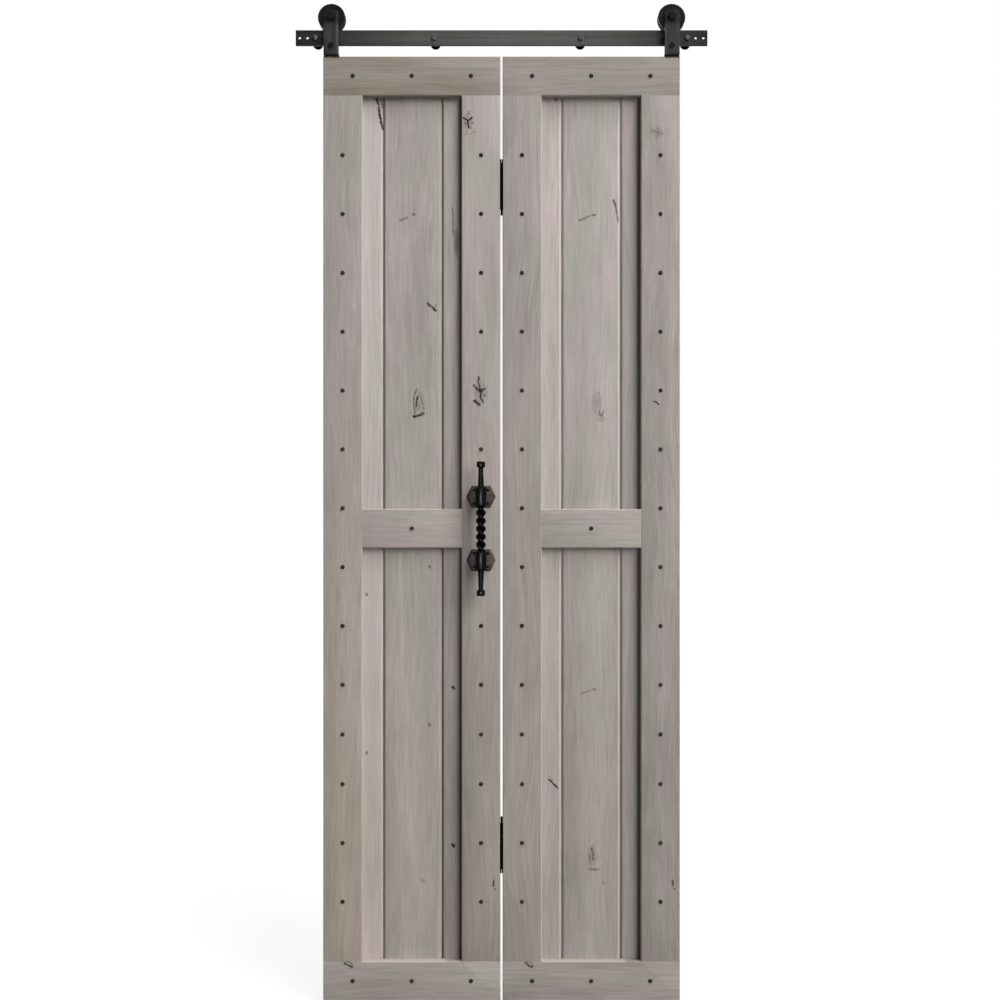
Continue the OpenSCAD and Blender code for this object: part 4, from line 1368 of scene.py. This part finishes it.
@dataclass
class Studio:
    """Plain pale room with soft lights, and the photo's camera."""

    camera: Point = (-0.0036, -2.86, -1.0506)
    lens: float = 44.6
    sensor: float = 36.0
    target: Point = (0.0, -0.06, -1.1)
    lamps: tuple[Lamp, ...] = (
        Lamp("key", (0.82, -1.0, 0.66), far=24.0, size=15.8, power=5150.0),
        Lamp("rim", (0.50, -0.33, 1.0), far=24.0, size=10.3, power=3300.0),
        Lamp("glint", (-0.02, -1.0, -0.03), far=6.0, size=0.7, power=420.0, shine_only=True),
        Lamp("back", (-0.5, 0.8, 0.35), far=9.0, size=7.0, power=720.0),
    )
    ambient: float = 0.05
    floor_drop: float = 0.012
    floor_r: float = 60.0
    floor_sides: int = 64
    floor_grey: float = 0.25
    floor_seen_grey: float = 0.8
    floor_glow: float = 1.12
    floor_near_share: float = 0.75
    floor_near: float = 2.5
    floor_far: float = 6.0

    def build(self) -> None:
        """Set the camera, lights, world and floor."""
        bpy.context.scene.view_settings.view_transform = "Standard"
        self.stand()
        for lamp in self.lamps:
            lamp.hang(Vector(self.target))
        self.world()
        self.floor()

    def stand(self) -> None:
        """Stand the camera square to the door."""
        data = bpy.data.cameras.new("camera")
        data.lens = self.lens
        data.sensor_width = self.sensor
        data.dof.use_dof = False
        camera = bpy.data.objects.new("camera", data)
        camera.location = self.camera
        camera.rotation_euler = (math.pi / 2, 0, 0)
        bpy.context.scene.collection.objects.link(camera)
        bpy.context.scene.camera = camera

    def seen(self, wires: Wires) -> Socket:
        """1 for rays from the camera, a reflection or a clear part.

        Args:
            wires: Node tree to add to.

        Returns:
            The share of such rays, 0 or 1.
        """
        path = wires.node("ShaderNodeLightPath")
        total = path.outputs["Is Camera Ray"]
        for name in ("Is Glossy Ray", "Is Transmission Ray"):
            total = wires.maths("MAXIMUM", total, path.outputs[name])
        return total

    def world(self) -> None:
        """White to the camera, dim to everything else."""
        world = bpy.data.worlds.new("studio")
        world.use_nodes = True
        bpy.context.scene.world = world
        wires = Wires(world.node_tree)
        level = wires.node("ShaderNodeMapRange", {"Value": self.seen(wires), "To Min": self.ambient})
        back = world.node_tree.nodes["Background"]
        wires.feed(back.inputs["Color"], WHITE)
        wires.feed(back.inputs["Strength"], level.outputs["Result"])

    def floor(self) -> None:
        """Lay a pale floor that fades into the white round it."""
        mesh = bmesh.new()
        place = Matrix.Translation((0, 0, DOOR_BOTTOM - self.floor_drop))
        bmesh.ops.create_circle(mesh, cap_ends=True, radius=self.floor_r, segments=self.floor_sides,
                                matrix=place)
        data = bpy.data.meshes.new("floor")
        mesh.to_mesh(data)
        mesh.free()
        data.materials.append(self.floor_paint())
        floor = bpy.data.objects.new("floor", data)
        bpy.context.scene.collection.objects.link(floor)

    def floor_paint(self) -> bpy.types.Material:
        """Matt grey that turns to the background's white with distance, where it is seen.

        Returns:
            The floor's material.
        """
        material = bpy.data.materials.new("floor")
        material.use_nodes = True
        material.node_tree.nodes.clear()
        wires = Wires(material.node_tree)
        seen = self.seen(wires)
        greys = {"Value": seen, "To Min": self.floor_grey, "To Max": self.floor_seen_grey}
        grey = wires.node("ShaderNodeMapRange", greys)
        matt = wires.node("ShaderNodeBsdfDiffuse", {"Color": grey.outputs["Result"]})
        glow = wires.node("ShaderNodeEmission", {"Color": WHITE, "Strength": self.floor_glow})
        levels = {"Value": wires.vector("LENGTH", wires.place()), "From Min": self.floor_near,
                  "From Max": self.floor_far, "To Min": self.floor_near_share}
        level = wires.node("ShaderNodeMapRange", levels)
        share = wires.maths("MULTIPLY", seen, level.outputs["Result"])
        blend = wires.row("ShaderNodeMixShader", (share, matt.outputs[0], glow.outputs[0]))
        wires.node("ShaderNodeOutputMaterial", {"Surface": blend.outputs[0]})
        return material


def cracks(*points: tuple[float, float], width: float = 3.6, dark: float = 1.0) -> tuple[Split, ...]:
    """Cracks from point to point, which lap at the bends.

    Args:
        points: Millimetres from the door's middle and above its bottom.
        width: Width in millimetres.
        dark: Darkness.

    Returns:
        One crack between each two neighbours.
    """
    made = []
    for start, end in zip(points, points[1:]):
        first, last = Vector(start) * MILLIMETRE, Vector(end) * MILLIMETRE
        lap = (last - first).normalized() * width * MILLIMETRE / 2
        made.append(Split(*(first - lap), *(last + lap), width * MILLIMETRE, dark))
    return tuple(made)


def knot(x: float, h: float, half_w: float, half_h: float, dark: float) -> Knot:
    """Knot from millimetres."""
    return Knot(*(size * MILLIMETRE for size in (x, h, half_w, half_h)), dark)


def eye(x: float) -> tuple[Split, ...]:
    """Eye-shaped split near the top of a bottom rail.

    Args:
        x: Millimetres from the door's middle to its left corner.

    Returns:
        Its lower lid, then its upper one.
    """
    lower = cracks((x, 86), (x + 8, 80), (x + 18, 74), width=4.6, dark=0.9)
    return lower + cracks((x + 3, 88), (x + 11, 88), (x + 17, 83.5), (x + 19, 76), width=2.6, dark=0.75)


def tick(x: float) -> tuple[Mark, ...]:
    """Short upright crack with a dot at its foot, low on a stile.

    Args:
        x: Millimetres from the door's middle to the crack.

    Returns:
        The crack and the dot.
    """
    return *cracks((x, 273), (x, 257), dark=0.85), knot(x + 3.4, 252, 2.8, 2.8, 0.95)


def pin_knot(x: float, h: float) -> tuple[Mark, ...]:
    """Small dark knot with a slanting split through it.

    Args:
        x: Millimetres from the door's middle to the knot.
        h: Millimetres from the door's bottom to the knot.

    Returns:
        The knot and the split.
    """
    return knot(x, h, 3.4, 4, 0.9), *cracks((x - 2.1, h + 2), (x + 2.3, h - 2), width=6.4, dark=0.9)


# Painted shadow on a leaf's top edge under its hanger, in millimetres.
SHADOW_HALF_L = 20.0
SHADOW_W = 5.0
SHADOW_H = 2132.4


def hanger_painted_shadow(x: float) -> tuple[Split, ...]:
    """Painted shadow: a black line on the top edge of a leaf, where its hanger's foot shades it.

    Args:
        x: Millimetres from the door's middle to the stain's middle.

    Returns:
        The painted shadow.
    """
    return cracks((x - SHADOW_HALF_L, SHADOW_H), (x + SHADOW_HALF_L, SHADOW_H), width=SHADOW_W, dark=0.95)


LEFT_WOODS = {
    "outer_stile": StainedWood(Grain.UPRIGHT, tone=0.98, seed=1.0, olive=0.12, dusk=0.5, age=-0.2),
    "inner_stile": StainedWood(Grain.UPRIGHT, tone=1.16, seed=2.0, olive=0.08, dusk=0.35, age=0.18, marks=(
        *cracks((-87, 1996), (-77, 1988)),
        *cracks((-77, 1988), (-65, 1996.5)),
        *cracks((-77, 1990), (-74.5, 1970)),
        *cracks((-84, 1984), (-80.5, 1979), width=2.6, dark=0.8),
        *cracks((-72, 1975), (-68, 1970), width=2.6, dark=0.6),
        *cracks((-83, 1966), (-78, 1963), width=2.6, dark=0.5),
        *cracks((-72.8, 2011), (-75.5, 2001), width=2.8, dark=0.7),
        *cracks((-85, 1957), (-72, 1959), (-58, 1965), width=2.6, dark=0.35),
        knot(-76, 1987, 10, 17, 0.4),
        knot(-66, 1982.6, 3, 3, 0.95),
        *cracks((-64, 1391), (-50, 1377), width=5.0),
        *cracks((-50, 1377), (-37, 1382), width=4.2),
        *cracks((-49, 1379), (-53, 1396), (-52, 1411), width=3.4),
        *cracks((-47, 1373), (-47.5, 1361), (-41, 1349)),
        *cracks((-63.5, 1357), (-48.5, 1344.5), width=6.4),
        knot(-48, 1376, 14, 24, 0.4),
        knot(-38.6, 1367, 3.2, 3.2, 0.95),
        *tick(-18.1),
    )),
    "top_rail": StainedWood(Grain.LEVEL, tone=0.94, seed=3.0, olive=1.0, marks=hanger_painted_shadow(-384)),
    "mid_rail": StainedWood(Grain.LEVEL, tone=1.08, seed=4.0, olive=0.25),
    "bottom_rail": StainedWood(Grain.LEVEL, tone=1.01, seed=5.0, olive=0.35, marks=eye(-355.5)),
    "outer_plank": StainedWood(Grain.UPRIGHT, tone=1.25, seed=6.0, olive=0.06, dusk=0.18, age=-0.09, marks=(
        *cracks((-287, 2050), (-279, 2028), width=6.0),
        *cracks((-280.5, 2028), (-275, 1994), width=6.4),
        *cracks((-276, 1996), (-269.4, 1974), width=5.0),
        *cracks((-277.5, 2044), (-268.5, 2021), (-268.5, 2003), dark=0.8),
        knot(-306.9, 916, 3.4, 4.4, 0.9),
        knot(-306.9, 556, 3.4, 4.4, 0.9),
    )),
    "middle_plank": StainedWood(Grain.UPRIGHT, tone=1.02, seed=7.0, olive=0.08, dusk=0.2, age=-0.11, marks=(
        knot(-188.5, 1352, 13, 31, 0.22),
        *cracks((-192.9, 1386), (-198.6, 1370), (-200.8, 1353.5), (-199, 1338), (-197.4, 1326),
                width=2.8, dark=0.75),
        *cracks((-189.5, 1381), (-184, 1365), (-178.4, 1347), (-176.1, 1333), width=2.4, dark=0.5),
        *cracks((-190.5, 1368), (-193.6, 1354), (-194.5, 1343), width=4.0),
        *cracks((-187, 1350), (-188.5, 1335), width=2.4, dark=0.5),
        *cracks((-201, 1320.5), (-189, 1323), width=6.4),
        *cracks((-191, 1323), (-175, 1328.5), width=6.0),
        *cracks((-232, 1767), (-213, 1774.5), width=5.0, dark=0.5),
        knot(-200, 1780.6, 4.4, 3.6, 0.95),
        *cracks((-171, 1580), (-146, 1559), width=5.4),
        knot(-150, 1573, 3, 4, 0.7),
        knot(-163.8, 979, 3.6, 4.4, 0.9),
        knot(-163.8, 619.5, 3.6, 4.4, 0.9),
        knot(-179, 265, 4, 3, 0.5),
    )),
    "inner_plank": StainedWood(Grain.UPRIGHT, tone=1.15, seed=8.0, olive=0.1, dusk=0.2, age=0.18, marks=(
        *pin_knot(-109.9, 704),
        *pin_knot(-109.9, 345),
        # Painted shade: a dark knot-like patch beside the inner stile, where that stile's shade falls.
        knot(-103, 1716, 6, 30, 0.7),
        *cracks((-111, 1806), (-110, 1725), width=3.2, dark=0.6),
    )),
}

RIGHT_WOODS = {
    "outer_stile": StainedWood(Grain.UPRIGHT, tone=1.01, seed=11.0, olive=0.1, dusk=0.12, age=0.12, marks=(
        *cracks((344, 1355.5), (356, 1346), width=4.4),
        knot(352, 1961, 14, 11, 0.3),
        *cracks((336, 1967), (350, 1963), (366, 1957), width=3.4, dark=0.4),
        *cracks((352, 1972), (356, 1961), (350, 1948), width=3.0, dark=0.35),
        *tick(387.4),
    )),
    "inner_stile": StainedWood(Grain.UPRIGHT, tone=0.94, seed=12.0, olive=0.1, dusk=0.35, age=-0.09),
    "top_rail": StainedWood(Grain.LEVEL, tone=0.99, seed=13.0, olive=0.5, marks=hanger_painted_shadow(386)),
    "mid_rail": StainedWood(Grain.LEVEL, tone=1.08, seed=14.0, olive=0.25),
    "bottom_rail": StainedWood(Grain.LEVEL, tone=0.93, seed=15.0, olive=0.3, marks=eye(52.0)),
    "outer_plank": StainedWood(Grain.UPRIGHT, tone=1.08, seed=16.0, olive=0.1, dusk=0.15),
    "middle_plank": StainedWood(Grain.UPRIGHT, tone=1.15, seed=17.0, olive=0.05, dusk=0.2, age=0.03, marks=(
        *cracks((174.6, 1765.6), (202, 1778.8), width=4.2, dark=0.55),
        knot(210.3, 1779.7, 5.2, 3, 0.95),
        *cracks((253.7, 1814), (259.4, 1802), width=5.0, dark=0.85),
        *cracks((259, 1804), (263, 1781), (266, 1761), width=4.2, dark=0.75),
        knot(216.6, 1351.6, 11, 26, 0.35),
        knot(228, 1323.9, 3.6, 4, 1.0),
        *cracks((223, 1334), (221, 1322), dark=0.6),
        *cracks((232, 1335), (229.5, 1326), dark=0.7),
        knot(226.5, 1314.6, 10, 6, 0.35),
        *cracks((177.7, 689), (205, 699), dark=0.5),
        knot(210.5, 700, 5, 3, 0.7),
        knot(218, 447, 3, 3, 0.25),
        *cracks((205, 340), (208.5, 323), (208, 311), width=3.8, dark=0.75),
        *cracks((200, 324), (201, 308), width=3.0, dark=0.5),
        knot(206, 322, 10, 24, 0.4),
        *cracks((199, 291.5), (218, 290), width=5.0, dark=0.65),
        knot(222, 290, 3, 3, 0.4),
        knot(231, 260, 3, 4, 0.4),
    )),
    "inner_plank": StainedWood(Grain.UPRIGHT, tone=1.16, seed=18.0, olive=0.06, dusk=0.15, marks=(
        knot(123.4, 2043, 4.2, 5, 1.0),
        *cracks((105, 498), (130, 474.5), width=4.2),
        *cracks((108, 503), (118, 492), width=2.4, dark=0.4),
    )),
}


def sided(*names: str) -> tuple[str, ...]:
    """Node names for the left and right sides."""
    return tuple(f"{side.value}_{name}" for side in Side for name in names)


def clear_default() -> None:
    """Remove the objects that a new file starts with."""
    kept = set(frame["nodes"].values()) | set(frame["bodies"].values())
    for item in [item for item in bpy.data.objects if item not in kept]:
        bpy.data.objects.remove(item)


def main() -> None:
    """Build the sub-assemblies in order."""
    clear_default()
    Studio().build()
    hinges = tuple(f"{level}_hinge_{part}" for level in ("upper", "lower")
                   for part in ("left_plate", "right_plate", "pin"))
    axle = sided("axle_bolt", "axle_nut", "axle_spacers", "bearing", "jump_pin")
    assemblies = (
        Leaf(Side.LEFT, LEFT_WOODS),
        Leaf(Side.RIGHT, RIGHT_WOODS),
        Ironware(("track_rail",), Finish.TRACK, ease=0.0005),
        Ironware(("standoffs",), Finish.STANDOFF, ease=0.0004),
        Ironware(("lag_bolts",), Finish.LAG, ease=0.0004),
        Ironware(sided("strap"), Finish.STRAP, ease=0.0011),
        Ironware(sided("wheel"), Finish.WHEEL, ease=0.0006),
        Ironware(axle, Finish.BOLT, ease=0.0004),
        Ironware(sided("swivel_bolt", "pivot_plate", "plate_screws"), Finish.BOLT, ease=0.0003),
        Ironware(sided("swivel_bush", "thrust_washer"), Finish.NYLON, ease=0.0002),
        Ironware(hinges + sided("hinge_screws"), Finish.HINGE, ease=0.0003),
        PullHandle(),
    )
    for assembly in assemblies:
        assembly.build()


if __name__ == "__main__":
    main()
